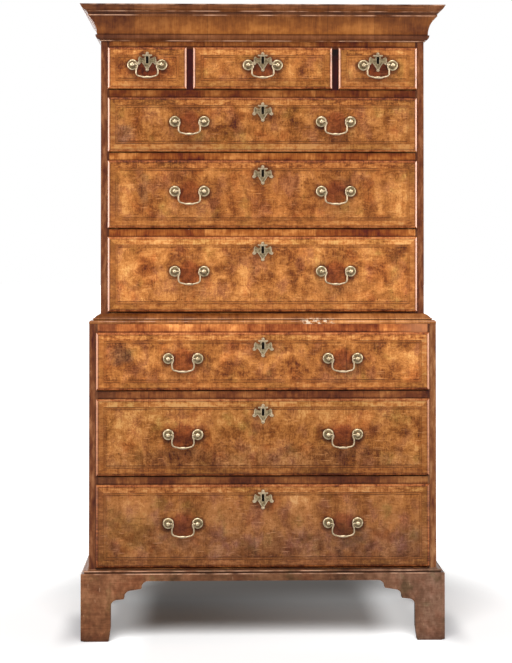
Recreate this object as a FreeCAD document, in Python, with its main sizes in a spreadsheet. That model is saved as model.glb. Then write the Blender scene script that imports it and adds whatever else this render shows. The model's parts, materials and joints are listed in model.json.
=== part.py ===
# Walnut chest-on-chest in millimetres: the front faces -Y, up is +Z and the floor is z = 0.
import FreeCAD, Part
import math
import os
import re
import Sketcher
from collections import namedtuple
from FreeCAD import Placement, Rotation, Vector

doc = FreeCAD.newDocument("chest_on_chest")

# Driving dimensions
DIMENSIONS = {
    # Cases
    "lower_width": 970,
    "lower_depth": 515,
    "case_step": 30,
    "side_board": 24,
    "case_board": 18,
    "back_board": 12,
    "back_planks": 4,
    "plank_gap": 1,
    # Rails, runners and dust boards
    "rail": 25.5,
    "rail_depth": 60,
    "lower_bottom_rail": 31,
    "lower_top_rail": 28,
    "upper_bottom_rail": 30,
    "frieze_rail": 101.5,
    "frieze_depth": 24,
    "runner_width": 42,
    "runner_height": 18,
    "dust_board": 9,
    "dust_drop": 4,
    "partition": 27,
    "short_opening": 212.5,
    # Mouldings
    "cornice_height": 99,
    "cornice_projection": 55,
    "cornice_rise": 18,
    "waist_height": 27.5,
    "waist_projection": 30.5,
    "base_height": 30,
    "base_projection": 21,
    # Bracket feet
    "foot_height": 167,
    "foot_width": 83,
    "foot_taper": 5,
    "foot_ease": 5,
    "foot_cove": 18.6,
    "bracket_reach": 187,
    "plain_reach": 110,
    "plain_foot": 12,
    "block_width": 42,
    "block_lift": 22,
    # Heights of the drawer fronts, lips included
    "short_front": 117,
    "upper_front_1": 152.5,
    "upper_front_2": 190.5,
    "upper_front_3": 210.5,
    "lower_front_1": 160.5,
    "lower_front_2": 214,
    "lower_front_3": 230,
    # Drawer fronts
    "lip": 8,
    "lip_round": 5,
    "lip_band": 6.2,
    "field_rise": 1,
    "lip_gap": 0.3,
    "lip_overlap": 4.5,
    "top_overlap": 4,
    "front_gap": 3,
    "front_core": 13,
    "side_clear": 0.8,
    "top_clear": 1,
    # Drawer boxes
    "drawer_side": 10,
    "drawer_back": 10,
    "drawer_bottom": 8,
    "bottom_lift": 5,
    "strip_width": 12,
    "side_drop": 6,
    "back_drop": 6,
    "slide_gap": 0.5,
    "rear_clear": 6,
    "tail_length": 10,
    "tail_pitch": 50,
    "tail_root": 0.25,
    "tail_tip": 0.33,
    # Locks and escutcheons
    "lock_width": 56,
    "lock_height": 42,
    "lock_depth": 9,
    "lock_clear": 0.2,
    "bolt_width": 20,
    "bolt_depth": 5,
    "bolt_height": 12,
    "bolt_setback": 2,
    "mortise_clear": 1,
    "keyway_depth": 7,
    "keyhole_width": 3.6,
    "keyhole_height": 16,
    "keyhole_rise": 3.7,
    "escutcheon_drop": 40,
    "escutcheon_plate": 1.6,
    # Swing handles
    "pull_centres": 82,
    "pull_rise": 8.5,
    "upper_pull": 206,
    "lower_pull": 223,
    "rose": 30.6,
    "rose_plate": 4.6,
    "rose_rim": 3.3,
    "rose_seat": 0.1,
    "ball": 14,
    "neck": 8.4,
    "shank": 4.8,
    "shank_clear": 0.15,
    "shank_end": 1.5,
    "nut_width": 11,
    "nut_height": 4,
    "pivot_out": 12.5,
    "pivot_pin": 3.2,
    "pivot_clear": 0.05,
    "pivot_depth": 4.5,
    "pivot_spare": 0.5,
    "bail_wire": 4.4,
    "bail_gap": 0.7,
    "bail_leg": 27,
    "bail_bow": 3.5,
    "bail_bow_drop": 13,
    "bail_shoulder": 3.6,
    "bail_corner": 10.5,
    "bail_sag": 80,
    "bail_drop": 36,
    "grip": 7.6,
    "grip_length": 34,
}

sheet = doc.addObject("Spreadsheet::Sheet", "Dims")
for row, (alias, number) in enumerate(DIMENSIONS.items(), 1):
    sheet.set(f"A{row}", alias.replace("_", " "))
    sheet.set(f"B{row}", str(number))
    sheet.setAlias(f"B{row}", alias)
doc.recompute()

WORD = re.compile(r"[A-Za-z_][A-Za-z_0-9]*")


def formula(text):
    """Text with each dimension's name turned into a reference to its cell."""
    return WORD.sub(lambda word: f"Dims.{word[0]}" if word[0] in DIMENSIONS else word[0], str(text))


def value(text):
    return float(sheet.evalExpression(formula(text)))


# Depths and widths worked out from the dimensions
BACK = "((lower_depth + lip_gap + lip + pivot_out + ball / 2) / 2)"
LOWER_FRONT = f"({BACK} - lower_depth)"
UPPER_FRONT = f"({LOWER_FRONT} + case_step)"
UPPER_DEPTH = "(lower_depth - case_step)"
UPPER_WIDTH = "(lower_width - 2 * case_step)"
LOWER_INNER = "(lower_width - 2 * side_board)"
UPPER_INNER = f"({UPPER_WIDTH} - 2 * side_board)"
MIDDLE_OPENING = f"({UPPER_INNER} - 2 * short_opening - 2 * partition)"
BASE_HALF = "(lower_width / 2 + base_projection)"
BASE_FRONT = f"({LOWER_FRONT} - base_projection)"


def opening(front):
    """Height of the opening behind a drawer front."""
    return f"({front} - top_overlap + front_gap)"


def row_floors(first, fronts):
    """Floor level of each row of drawers, stacked upwards with a rail between rows."""
    floors = {}
    floor = first
    for front in fronts:
        floors[front] = floor
        floor = f"({floor} + {opening(front)} + rail)"
    return floors


# Levels worked out from the drawer heights
LOWER_ROWS = ("lower_front_3", "lower_front_2", "lower_front_1")
UPPER_ROWS = ("upper_front_3", "upper_front_2", "upper_front_1", "short_front")
LOWER_FLOORS = row_floors("(foot_height + lower_bottom_rail)", LOWER_ROWS)
LOWER_TOP = f"({LOWER_FLOORS['lower_front_1']} + {opening('lower_front_1')} + lower_top_rail)"
UPPER_FLOORS = row_floors(f"({LOWER_TOP} + upper_bottom_rail)", UPPER_ROWS)
SHORT_TOP = f"({UPPER_FLOORS['short_front']} + {opening('short_front')})"
UPPER_TOP = f"({SHORT_TOP} + frieze_rail)"
CORNICE_FOOT = f"({UPPER_TOP} + cornice_rise - cornice_height)"


def place(piece, at, axis=Vector(0, 0, 1), angle=0):
    piece.Placement = Placement(Vector(), Rotation(axis, angle))
    for letter, text in zip("xyz", at):
        piece.setExpression(f".Placement.Base.{letter}", formula(text))
    return piece


def box(name, at, size):
    """Board with its low corner at a point."""
    board = doc.addObject("Part::Box", name)
    for side, text in zip(("Length", "Width", "Height"), size):
        board.setExpression(side, formula(text))
    return place(board, at)


def group(name, members):
    """Separate solids kept side by side under one name."""
    bundle = doc.addObject("Part::Compound", name)
    bundle.Links = members
    return bundle


def fuse(name, members):
    joined = doc.addObject("Part::MultiFuse", name)
    joined.Shapes = members
    return joined


def cut(name, base, tools):
    remaining = doc.addObject("Part::Cut", name)
    remaining.Base = base
    remaining.Tool = tools[0] if len(tools) == 1 else group(f"{name}_tools", tools)
    return remaining


def copy_of(master, name, at, axis=Vector(0, 0, 1), angle=0):
    return place(group(name, [master]), at, axis, angle)


# Sketch helpers
def new_body(name):
    return doc.addObject("PartDesign::Body", name)


def sketch_on(body, role, name, offset=("0", "0", "0")):
    """Sketch on one of the body's own origin planes, shifted in the sketch's own axes."""
    sketch = body.newObject("Sketcher::SketchObject", f"{body.Name}_{name}")
    plane = next(feature for feature in body.Origin.OriginFeatures if feature.Role == role)
    sketch.AttachmentSupport = (plane, [""])
    sketch.MapMode = "FlatFace"
    for letter, text in zip("xyz", offset):
        sketch.setExpression(f".AttachmentOffset.Base.{letter}", formula(text))
    return sketch


def pin_point(sketch, curve, end, corner):
    """Tie a point of a curve to its place, measured from the sketch's origin."""
    for kind, text in zip(("DistanceX", "DistanceY"), corner):
        number = sketch.addConstraint(Sketcher.Constraint(kind, -1, 1, curve, end, value(text)))
        sketch.setExpression(f"Constraints[{number}]", formula(text))


def pin_radius(sketch, curve, text):
    number = sketch.addConstraint(Sketcher.Constraint("Radius", curve, value(text)))
    sketch.setExpression(f"Constraints[{number}]", formula(text))


def arc_between(start, end, radius, bulge):
    """Arc that bulges to the left or right of the way from start to end."""
    chord = end - start
    lift = math.sqrt(max(radius ** 2 - (chord.Length / 2) ** 2, 0))
    left = Vector(-chord.y, chord.x, 0).normalize()
    centre = (start + end) * 0.5 + left * (lift if bulge == "right" else -lift)
    first, last = (start, end) if bulge == "right" else (end, start)
    begin = math.atan2(first.y - centre.y, first.x - centre.x)
    finish = math.atan2(last.y - centre.y, last.x - centre.x)
    finish += 2 * math.pi if finish <= begin else 0
    return Part.ArcOfCircle(Part.Circle(centre, Vector(0, 0, 1), radius), begin, finish)


def outline(sketch, corners, closed=True):
    """Corners are (x, y), or (x, y, radius, bulge) where an arc runs on to the next corner."""
    points = [Vector(value(corner[0]), value(corner[1]), 0) for corner in corners]
    spans = len(points) if closed else len(points) - 1
    first = sketch.GeometryCount
    tips = []
    for index in range(spans):
        corner, start, end = corners[index], points[index], points[(index + 1) % len(points)]
        if len(corner) == 2:
            sketch.addGeometry(Part.LineSegment(start, end), False)
        else:
            sketch.addGeometry(arc_between(start, end, value(corner[2]), corner[3]), False)
        tips.append((2, 1) if len(corner) == 4 and corner[3] == "left" else (1, 2))
    for index in range(spans):
        following = (index + 1) % spans
        if closed or following:
            ends = (first + index, tips[index][1], first + following, tips[following][0])
            sketch.addConstraint(Sketcher.Constraint("Coincident", *ends))
    for index, corner in enumerate(corners):
        if index < spans:
            pin_point(sketch, first + index, tips[index][0], corner)
        else:
            pin_point(sketch, first + spans - 1, tips[-1][1], corner)
        if len(corner) == 4:
            pin_radius(sketch, first + index, corner[2])


def rectangle(sketch, left, foot, width, height):
    right, head = f"({left} + {width})", f"({foot} + {height})"
    outline(sketch, [(left, foot), (right, foot), (right, head), (left, head)])


def circle(sketch, centre, radius):
    middle = Vector(value(centre[0]), value(centre[1]), 0)
    curve = sketch.addGeometry(Part.Circle(middle, Vector(0, 0, 1), value(radius)), False)
    pin_point(sketch, curve, 3, centre)
    pin_radius(sketch, curve, radius)


def slot(sketch, centre_height, width, height):
    """Upright slot with round ends on the sketch's upright axis."""
    half, round_end = f"({width} / 2)", f"(0.55 * {width})"
    low = f"({centre_height} - {height} / 2 + {half})"
    high = f"({centre_height} + {height} / 2 - {half})"
    outline(sketch, [(f"-{half}", low, round_end, "right"), (half, low),
                     (half, high, round_end, "right"), (f"-{half}", high)])


def pad(body, sketch, length, reverse=False):
    feature = body.newObject("PartDesign::Pad", f"{sketch.Name}_pad")
    feature.Profile = sketch
    feature.setExpression("Length", formula(length))
    feature.Reversed = reverse
    return feature


def pocket(body, sketch, depth, reverse=False):
    feature = body.newObject("PartDesign::Pocket", f"{sketch.Name}_pocket")
    feature.Profile = sketch
    feature.setExpression("Length", formula(depth))
    feature.Reversed = reverse
    return feature


def pocket_through(body, sketch):
    feature = body.newObject("PartDesign::Pocket", f"{sketch.Name}_pocket")
    feature.Profile = sketch
    feature.SideType = "Symmetric"
    feature.Type = "ThroughAll"
    return feature


def turn(body, sketch, axis):
    feature = body.newObject("PartDesign::Revolution", f"{sketch.Name}_turned")
    feature.Profile = sketch
    feature.ReferenceAxis = (sketch, [axis])
    feature.Angle = 360
    return feature


# Mouldings: a profile of (outward share, upward share) corners, run along one side of a case
CORNICE_PROFILE = [
    (0, 0),
    (0.064, 0),
    (0.064, 0.04),
    (0.085, 0.04, 0.126, "right"),
    (0.265, 0.17),
    (0.265, 0.182),
    (0.2, 0.182),
    (0.2, 0.21, 0.618, "left"),
    (0.6, 0.687),
    (0.627, 0.687),
    (0.627, 0.727),
    (0.61, 0.727, 0.09, "left"),
    (0.69, 0.8),
    (0.71, 0.8),
    (0.71, 0.83, 0.222, "right"),
    (0.975, 0.975),
    (1, 0.975),
    (1, 1),
    (0, 1),
]
WAIST_PROFILE = [
    (0, 0),
    (1, 0),
    (1, 0.2, 0.26, "right"),
    (0.73, 0.37),
    (0.62, 0.37),
    (0.62, 0.45),
    (0.69, 0.45, 0.11, "right"),
    (0.6, 0.58),
    (0.56, 0.58, 1.2, "right"),
    (0.03, 1),
    (0, 1),
]
BASE_PROFILE = [
    (0, 0),
    (1, 0),
    (1, 0.6, 0.08, "right"),
    (0.93, 0.667),
    (0.55, 0.69),
    (0.55, 0.767),
    (0.62, 0.767, 0.1, "right"),
    (0.5, 0.917),
    (0.3, 0.917, 0.167, "left"),
    (0.05, 1),
    (0, 1),
]


def moulding_length(name, profile, height, projection, run, mitres, angle, at):
    """One length of moulding; local +X runs along it and local +Y points out of the case."""
    body = new_body(name)
    start_extra = projection if mitres[0] else "0"
    end_extra = projection if mitres[1] else "0"
    section = sketch_on(body, "YZ_Plane", "section", ("0", "0", f"-{start_extra}"))
    corners = []
    for share in profile:
        corner = (f"{share[0]} * {projection}", f"{share[1]} * {height}")
        corners.append(corner if len(share) == 2 else corner + (f"{share[2]} * {height}", share[3]))
    outline(section, corners)
    pad(body, section, f"{run} + {start_extra} + {end_extra}")
    mitre = sketch_on(body, "XY_Plane", "mitre")
    if mitres[0]:
        outline(mitre, [("0", "0"), (f"-{projection}", projection), (f"-{projection}", "0")])
    if mitres[1]:
        far = f"({run} + {projection})"
        outline(mitre, [(run, "0"), (far, "0"), (far, projection)])
    pocket_through(body, mitre)
    return place(body, at, angle=angle)


def moulding(name, profile, height, projection, width, depth, front, level):
    """Front length and two returns, mitred at the front corners."""
    sizes = (profile, height, projection)
    half = f"({width} / 2)"
    return group(name, [
        moulding_length(f"{name}_front", *sizes, width, (True, True), 180, (half, front, level)),
        moulding_length(f"{name}_left", *sizes, depth, (True, False), 90, (f"-{half}", front, level)),
        moulding_length(f"{name}_right", *sizes, depth, (False, True), -90, (half, BACK, level)),
    ])


# Bracket feet
def bracket_corners(side):
    """Outline of a bracket board from its corner; side is 1 to run along +X and -1 along -X."""
    shape = [
        ("0", "foot_ease"),
        ("2 * foot_ease", "0"),
        ("foot_width - foot_taper - foot_ease / 2", "0"),
        ("foot_width - foot_taper", "foot_ease / 2"),
        ("foot_width", "0.23 * foot_height"),
        ("foot_width", "0.575 * foot_height", "foot_cove", "left"),
        ("foot_width + foot_cove", "0.69 * foot_height"),
        ("0.64 * bracket_reach", "0.703 * foot_height"),
        ("0.645 * bracket_reach", "0.722 * foot_height", "foot_cove", "left"),
        ("0.728 * bracket_reach", "0.842 * foot_height"),
        ("0.893 * bracket_reach", "0.872 * foot_height"),
        ("0.9 * bracket_reach", "0.886 * foot_height", "foot_cove", "left"),
        ("bracket_reach", "foot_height"),
        ("0", "foot_height"),
    ]
    if side == 1:
        return shape
    mirrored = []
    for index in range(len(shape)):
        corner = shape[-index]
        point = (f"-({corner[0]})", corner[1])
        before = shape[-index - 1]
        mirrored.append(point if len(before) == 2 else point + (before[2], "left"))
    return mirrored


def bracket_board(name, side, angle, at, mitred=True):
    """Board whose outer face is local y = 0, with its end cut to a mitre at the corner."""
    body = new_body(name)
    face = sketch_on(body, "XZ_Plane", "face")
    outline(face, bracket_corners(side))
    pad(body, face, "base_projection", reverse=True)
    if mitred:
        mitre = sketch_on(body, "XY_Plane", "mitre")
        thick = f"({side} * base_projection)"
        outline(mitre, [("0", "0"), (thick, "base_projection"), ("0", "base_projection")])
        pocket_through(body, mitre)
    return place(body, at, angle=angle)


def plain_bracket(name, side, at):
    """Straight-cut board across the back of a rear foot, clear of the floor."""
    body = new_body(name)
    face = sketch_on(body, "XZ_Plane", "face")
    foot, reach = f"{side} * plain_foot", f"{side} * plain_reach"
    outline(face, [("0", "block_lift"), (foot, "block_lift"), (reach, "foot_height"), ("0", "foot_height")])
    pad(body, face, "base_projection", reverse=True)
    return place(body, at)


def corner_block(name, at):
    return box(name, at, ("block_width", "block_width", "foot_height - block_lift"))


def front_feet():
    left, right = f"-{BASE_HALF}", BASE_HALF
    inside = f"({BASE_FRONT} + base_projection)"
    left_block, right_block = f"{left} + base_projection", f"{right} - base_projection - block_width"
    return group("front_bracket_feet", [
        bracket_board("front_left_front_bracket", 1, 0, (left, BASE_FRONT, "0")),
        bracket_board("front_left_side_bracket", -1, -90, (left, BASE_FRONT, "0")),
        corner_block("front_left_block", (left_block, inside, "block_lift")),
        bracket_board("front_right_front_bracket", -1, 0, (right, BASE_FRONT, "0")),
        bracket_board("front_right_side_bracket", 1, 90, (right, BASE_FRONT, "0")),
        corner_block("front_right_block", (right_block, inside, "block_lift")),
    ])


def rear_feet():
    left, right = f"-{BASE_HALF}", BASE_HALF
    plain_front = f"({BACK} - base_projection)"
    inside = f"({plain_front} - block_width)"
    left_block, right_block = f"{left} + base_projection", f"{right} - base_projection - block_width"
    return group("rear_bracket_feet", [
        bracket_board("rear_left_side_bracket", 1, -90, (left, BACK, "0"), mitred=False),
        plain_bracket("rear_left_plain_bracket", 1, (left_block, plain_front, "0")),
        corner_block("rear_left_block", (left_block, inside, "block_lift")),
        bracket_board("rear_right_side_bracket", -1, 90, (right, BACK, "0"), mitred=False),
        plain_bracket("rear_right_plain_bracket", -1, (f"{right} - base_projection", plain_front, "0")),
        corner_block("rear_right_block", (right_block, inside, "block_lift")),
    ])


# Drawers
Drawer = namedtuple("Drawer", "name front_plane depth floor front width centre pulls")
SHORT_SHIFT = f"(({UPPER_INNER} - short_opening) / 2)"
SHORT_FLOOR = UPPER_FLOORS["short_front"]
DRAWERS = [
    Drawer("left_short_drawer", UPPER_FRONT, UPPER_DEPTH, SHORT_FLOOR, "short_front",
           "short_opening", f"(-{SHORT_SHIFT})", ("0",)),
    Drawer("middle_short_drawer", UPPER_FRONT, UPPER_DEPTH, SHORT_FLOOR, "short_front",
           MIDDLE_OPENING, "0", ("0",)),
    Drawer("right_short_drawer", UPPER_FRONT, UPPER_DEPTH, SHORT_FLOOR, "short_front",
           "short_opening", SHORT_SHIFT, ("0",)),
]
for number in (1, 2, 3):
    DRAWERS.append(Drawer(f"upper_drawer_{number}", UPPER_FRONT, UPPER_DEPTH,
                          UPPER_FLOORS[f"upper_front_{number}"], f"upper_front_{number}",
                          UPPER_INNER, "0", ("(-upper_pull)", "upper_pull")))
for number in (1, 2, 3):
    DRAWERS.append(Drawer(f"lower_drawer_{number}", LOWER_FRONT, "lower_depth",
                          LOWER_FLOORS[f"lower_front_{number}"], f"lower_front_{number}",
                          LOWER_INNER, "0", ("(-lower_pull)", "lower_pull")))


def core_width(drawer):
    return f"({drawer.width} - 2 * side_clear)"


def core_height(drawer):
    return f"({drawer.front} - top_overlap - top_clear)"


def core_back(drawer):
    return f"({drawer.front_plane} - lip_gap + front_core)"


def pull_height(drawer):
    """Height of the handle's pivot above the lower edge of the front."""
    return f"({drawer.front} / 2 + pull_rise)"


def escutcheon_height(drawer):
    return f"({drawer.front} - escutcheon_drop)"


def post_places(drawer):
    """Post positions across the front, with the way each post's pivot hole faces."""
    for pull in drawer.pulls:
        yield f"({pull} - pull_centres / 2)", 1
        yield f"({pull} + pull_centres / 2)", -1


def lipped_front(drawer):
    """Front board: round-edged lip, raised field, core that fills the opening, holes for the brasses."""
    body = new_body(f"{drawer.name}_front_board")
    lip_width = f"({drawer.width} + 2 * lip_overlap)"
    lip_sketch = sketch_on(body, "XZ_Plane", "lip")
    rectangle(lip_sketch, f"-{lip_width} / 2", "0", lip_width, drawer.front)
    lip_pad = pad(body, lip_sketch, "lip - field_rise")
    doc.recompute()
    face_depth = value("field_rise - lip")
    rim = [f"Edge{number}" for number, edge in enumerate(lip_pad.Shape.Edges, 1)
           if all(abs(vertex.Y - face_depth) < 1e-6 for vertex in edge.Vertexes)]
    rounding = body.newObject("PartDesign::Fillet", f"{body.Name}_lip_round")
    rounding.Base = (lip_pad, rim)
    rounding.setExpression("Radius", formula("lip_round"))
    field = sketch_on(body, "XZ_Plane", "field", ("0", "0", "lip - field_rise"))
    rectangle(field, f"lip_band - {lip_width} / 2", "lip_band",
              f"({lip_width} - 2 * lip_band)", f"({drawer.front} - 2 * lip_band)")
    pad(body, field, "field_rise")
    core = sketch_on(body, "XZ_Plane", "core")
    rectangle(core, f"-{core_width(drawer)} / 2", "0", core_width(drawer), core_height(drawer))
    pad(body, core, "front_core", reverse=True)
    holes = sketch_on(body, "XZ_Plane", "holes")
    slot(holes, f"({escutcheon_height(drawer)} + keyhole_rise)", "keyhole_width", "keyhole_height")
    for across, _ in post_places(drawer):
        circle(holes, (across, pull_height(drawer)), "shank / 2 + shank_clear")
    pocket_through(body, holes)
    recess = sketch_on(body, "XZ_Plane", "lock_recess", ("0", "0", "-front_core"))
    rectangle(recess, "-lock_width / 2", f"({core_height(drawer)} - lock_height)",
              "lock_width", "lock_height + top_clear")
    pocket(body, recess, "lock_depth", reverse=True)
    return place(body, (drawer.centre, f"{drawer.front_plane} - lip_gap", f"{drawer.floor} + front_gap"))


def dovetail(name, at, half_root, half_tip):
    """Tail that widens towards the front."""
    tail = doc.addObject("Part::Wedge", name)
    spans = {
        "Xmin": "0", "Xmax": "drawer_side", "X2min": "0", "X2max": "drawer_side",
        "Ymin": "0", "Ymax": "tail_length",
        "Zmin": f"-{half_tip}", "Zmax": half_tip, "Z2min": f"-{half_root}", "Z2max": half_root,
    }
    for side, text in spans.items():
        tail.setExpression(side, formula(text))
    return place(tail, at)


def side_length(drawer):
    return f"({drawer.depth} - back_board - rear_clear + lip_gap - front_core)"


def side_height(drawer):
    return f"(front_gap - slide_gap + {core_height(drawer)} - side_drop)"


def side_board(drawer, label, left):
    """Drawer side with the tails that lock it into the front."""
    board = box(f"{drawer.name}_{label}_side_board", (left, core_back(drawer), f"{drawer.floor} + slide_gap"),
                ("drawer_side", side_length(drawer), side_height(drawer)))
    joined_height = f"({core_height(drawer)} - side_drop)"
    count = max(2, round(value(joined_height) / value("tail_pitch")))
    pitch = f"({joined_height} / {count})"
    tails = []
    for number in range(count):
        middle = f"({drawer.floor} + front_gap + {number + 0.5} * {pitch})"
        tails.append(dovetail(f"{drawer.name}_{label}_tail_{number + 1}",
                              (left, f"{core_back(drawer)} - tail_length", middle),
                              f"(tail_root * {pitch})", f"(tail_tip * {pitch})"))
    return fuse(f"{drawer.name}_{label}_side", [board] + tails), tails


def drawer_woodwork(drawer):
    """Front and box of one drawer."""
    half = f"({core_width(drawer)} / 2)"
    left, left_tails = side_board(drawer, "left", f"({drawer.centre} - {half})")
    right, right_tails = side_board(drawer, "right", f"({drawer.centre} + {half} - drawer_side)")
    front = cut(f"{drawer.name}_front", lipped_front(drawer), left_tails + right_tails)
    inner_left = f"({drawer.centre} - {half} + drawer_side)"
    inner_width = f"({core_width(drawer)} - 2 * drawer_side)"
    start = core_back(drawer)
    length = side_length(drawer)
    bottom_level = f"({drawer.floor} + slide_gap + bottom_lift)"
    board_top = f"({bottom_level} + drawer_bottom)"
    back_height = f"({side_height(drawer)} - back_drop - bottom_lift - drawer_bottom)"
    strip_size = ("strip_width", length, "bottom_lift")
    strip_level = f"({drawer.floor} + slide_gap)"
    pieces = [
        left,
        right,
        box(f"{drawer.name}_bottom", (inner_left, start, bottom_level),
            (inner_width, length, "drawer_bottom")),
        box(f"{drawer.name}_back", (inner_left, f"{start} + {length} - drawer_back", board_top),
            (inner_width, "drawer_back", back_height)),
        box(f"{drawer.name}_left_strip", (inner_left, start, strip_level), strip_size),
        box(f"{drawer.name}_right_strip", (f"{inner_left} + {inner_width} - strip_width", start, strip_level),
            strip_size),
    ]
    return front, group(f"{drawer.name}_box", pieces)


# Brasses, each made once at the origin: x = 0, y = 0 is the point on the drawer's face behind it
def rose_master():
    body = new_body("rose_master")
    profile = sketch_on(body, "XY_Plane", "profile")
    hole = "(shank / 2 + shank_clear)"
    outline(profile, [
        (hole, "0"),
        ("rose / 2", "0"),
        ("rose / 2", "-0.17 * rose_plate", "rose_rim", "left"),
        ("0.3 * rose", "-0.26 * rose_plate"),
        ("0.16 * rose", "-0.2 * rose_plate"),
        ("0.15 * rose", "-rose_plate"),
        (hole, "-rose_plate"),
    ])
    turn(body, profile, "V_Axis")
    return body


def post_master():
    """Post with a ball head; its pivot hole opens towards +X."""
    body = new_body("post_master")
    profile = sketch_on(body, "XY_Plane", "profile")
    rear = "(front_core + lip + nut_height + shank_end)"
    seat = "(-(rose_plate + rose_seat))"
    neck_top = "(-(pivot_out - sqrt((ball / 2)^2 - (neck / 2)^2)))"
    outline(profile, [
        ("0", rear),
        ("0", "-(pivot_out + ball / 2)", "ball / 2", "right"),
        ("ball / 2", "-pivot_out", "ball / 2", "right"),
        ("neck / 2", neck_top),
        ("neck / 2", seat),
        ("shank / 2", seat),
        ("shank / 2", rear),
    ])
    turn(body, profile, "V_Axis")
    hole = sketch_on(body, "YZ_Plane", "pivot_hole", ("0", "0", "ball / 2"))
    circle(hole, ("-pivot_out", "0"), "pivot_pin / 2 + pivot_clear")
    pocket(body, hole, "pivot_depth + pivot_spare")
    return body


def nut_master():
    """Square nut standing on the inside of the drawer front."""
    body = new_body("nut_master")
    face = sketch_on(body, "XZ_Plane", "face", ("0", "0", "-(lip + front_core)"))
    rectangle(face, "-nut_width / 2", "-nut_width / 2", "nut_width", "nut_width")
    circle(face, ("0", "0"), "shank / 2 + shank_clear")
    pad(body, face, "nut_height", reverse=True)
    return body


def bail_path():
    """Right half of the bail from its shoulder to the lowest point, then mirrored."""
    low_leg = "(bail_leg + bail_bow)"
    bow_end = "(-(bail_shoulder + bail_bow_drop))"
    bow_radius = "((bail_bow^2 + bail_bow_drop^2) / (4 * bail_bow))"
    reach = f"({low_leg} - bail_corner)"
    spread = "(bail_sag - bail_corner)"
    corner_level = f"(bail_sag - bail_drop - sqrt({spread}^2 - {reach}^2))"
    meet_across = f"({reach} * bail_sag / {spread})"
    meet_level = f"(bail_sag - bail_drop - (bail_sag - bail_drop - {corner_level}) * bail_sag / {spread})"
    right = [
        ("(pull_centres / 2 - ball / 2 - bail_gap)", "0"),
        ("(bail_leg + bail_shoulder)", "0", "bail_shoulder", "right"),
        ("bail_leg", "(-bail_shoulder)", bow_radius, "right"),
        ("(bail_leg + bail_bow / 2)", "(-(bail_shoulder + bail_bow_drop / 2))", bow_radius, "left"),
        (low_leg, bow_end),
        (low_leg, corner_level, "bail_corner", "left"),
        (meet_across, meet_level, "bail_sag", "left"),
    ]
    left = []
    for index in range(len(right) - 1, -1, -1):
        across, level = right[index][:2]
        arc = right[index - 1][2:] if index else ()
        left.append((f"(-{across})", level) + tuple(arc))
    return right, left


def bail_master():
    """Swan-neck bail swept along its path, with pivot pins and a swelling for the fingers."""
    body = new_body("bail_master")
    right, left = bail_path()
    start = right[0][0]
    path = sketch_on(body, "XZ_Plane", "path", ("0", "0", "pivot_out"))
    outline(path, right + left, closed=False)
    wire = sketch_on(body, "YZ_Plane", "wire", ("0", "0", start))
    circle(wire, ("-pivot_out", "0"), "bail_wire / 2")
    sweep = body.newObject("PartDesign::AdditivePipe", "bail_master_sweep")
    sweep.Profile = wire
    sweep.Spine = (path, [])
    for side, reverse in ((start, False), (f"-{start}", True)):
        pin = sketch_on(body, "YZ_Plane", "pin", ("0", "0", side))
        circle(pin, ("-pivot_out", "0"), "pivot_pin / 2")
        pad(body, pin, "pivot_depth + bail_gap", reverse=reverse)
    grip = sketch_on(body, "XZ_Plane", "grip", ("0", "-bail_drop", "pivot_out"))
    half = "(grip_length / 2)"
    bulge = f"(({half}^2 + (grip / 2)^2) / grip)"
    outline(grip, [(f"-{half}", "0"), (half, "0", bulge, "right")])
    turn(body, grip, "H_Axis")
    return body


# Right half of an escutcheon from its top finial down to its lowest point
ESCUTCHEON_HALF = [
    (0, 26.4, 4.25, "left"),
    (4.2, 22.8, 3.2, "left"),
    (3.2, 19.6),
    (6, 18.8, 16, "right"),
    (12, 19, 2.6, "left"),
    (13, 14.6),
    (9, 13.6, 3.4, "right"),
    (8.6, 8.6, 12, "right"),
    (19.4, 13, 2.2, "left"),
    (22.8, 12.2, 20, "left"),
    (25.4, 3.2, 6, "right"),
    (28.6, -3.4, 4.2, "left"),
    (23, -9.4, 4.4, "left"),
    (18.6, -5.6, 3.2, "right"),
    (13.6, -5.4),
    (4, -20.4),
    (4.8, -23.6, 4.82, "left"),
    (0, -28),
]


def escutcheon_master():
    """Flat pierced plate, the same on both sides of its upright axis, with the key slot through it."""
    body = new_body("escutcheon_master")
    face = sketch_on(body, "XZ_Plane", "face")
    right = [tuple(str(part) for part in corner) for corner in ESCUTCHEON_HALF]
    left = []
    for index in range(len(right) - 2, 0, -1):
        across, level = right[index][:2]
        left.append((f"(-{across})", level) + right[index - 1][2:])
    lowest = right[-1] + right[-2][2:]
    outline(face, right[:-1] + [lowest] + left)
    slot(face, "keyhole_rise", "keyhole_width", "keyhole_height")
    pad(body, face, "escutcheon_plate")
    return body


ROSE = rose_master()
POST = post_master()
NUT = nut_master()
BAIL = bail_master()
ESCUTCHEON = escutcheon_master()


def lock(drawer):
    """Lock case let into the back of the front, with its bolt drawn down flush."""
    foot = f"({drawer.floor} + front_gap)"
    low = f"({foot} + {core_height(drawer)} - lock_height + lock_clear)"
    height = "(lock_height - lock_clear)"
    recess = f"({core_back(drawer)} - lock_depth)"
    case = box(f"{drawer.name}_lock_block",
               (f"{drawer.centre} - lock_width / 2 + lock_clear", f"{recess} + lock_clear", low),
               ("lock_width - 2 * lock_clear", "lock_depth - lock_clear", height))
    key_foot = f"({foot} + {escutcheon_height(drawer)} + keyhole_rise - keyhole_height / 2)"
    keyway = box(f"{drawer.name}_keyway",
                 (f"{drawer.centre} - keyhole_width / 2", recess, key_foot),
                 ("keyhole_width", "keyway_depth", "keyhole_height - bolt_height / 2"))
    bolt = box(f"{drawer.name}_bolt",
               (f"{drawer.centre} - bolt_width / 2", f"{core_back(drawer)} - bolt_setback - bolt_depth",
                f"{low} + {height} - bolt_height"),
               ("bolt_width", "bolt_depth", "bolt_height"))
    return [cut(f"{drawer.name}_lock", case, [bolt, keyway]), bolt]


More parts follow.
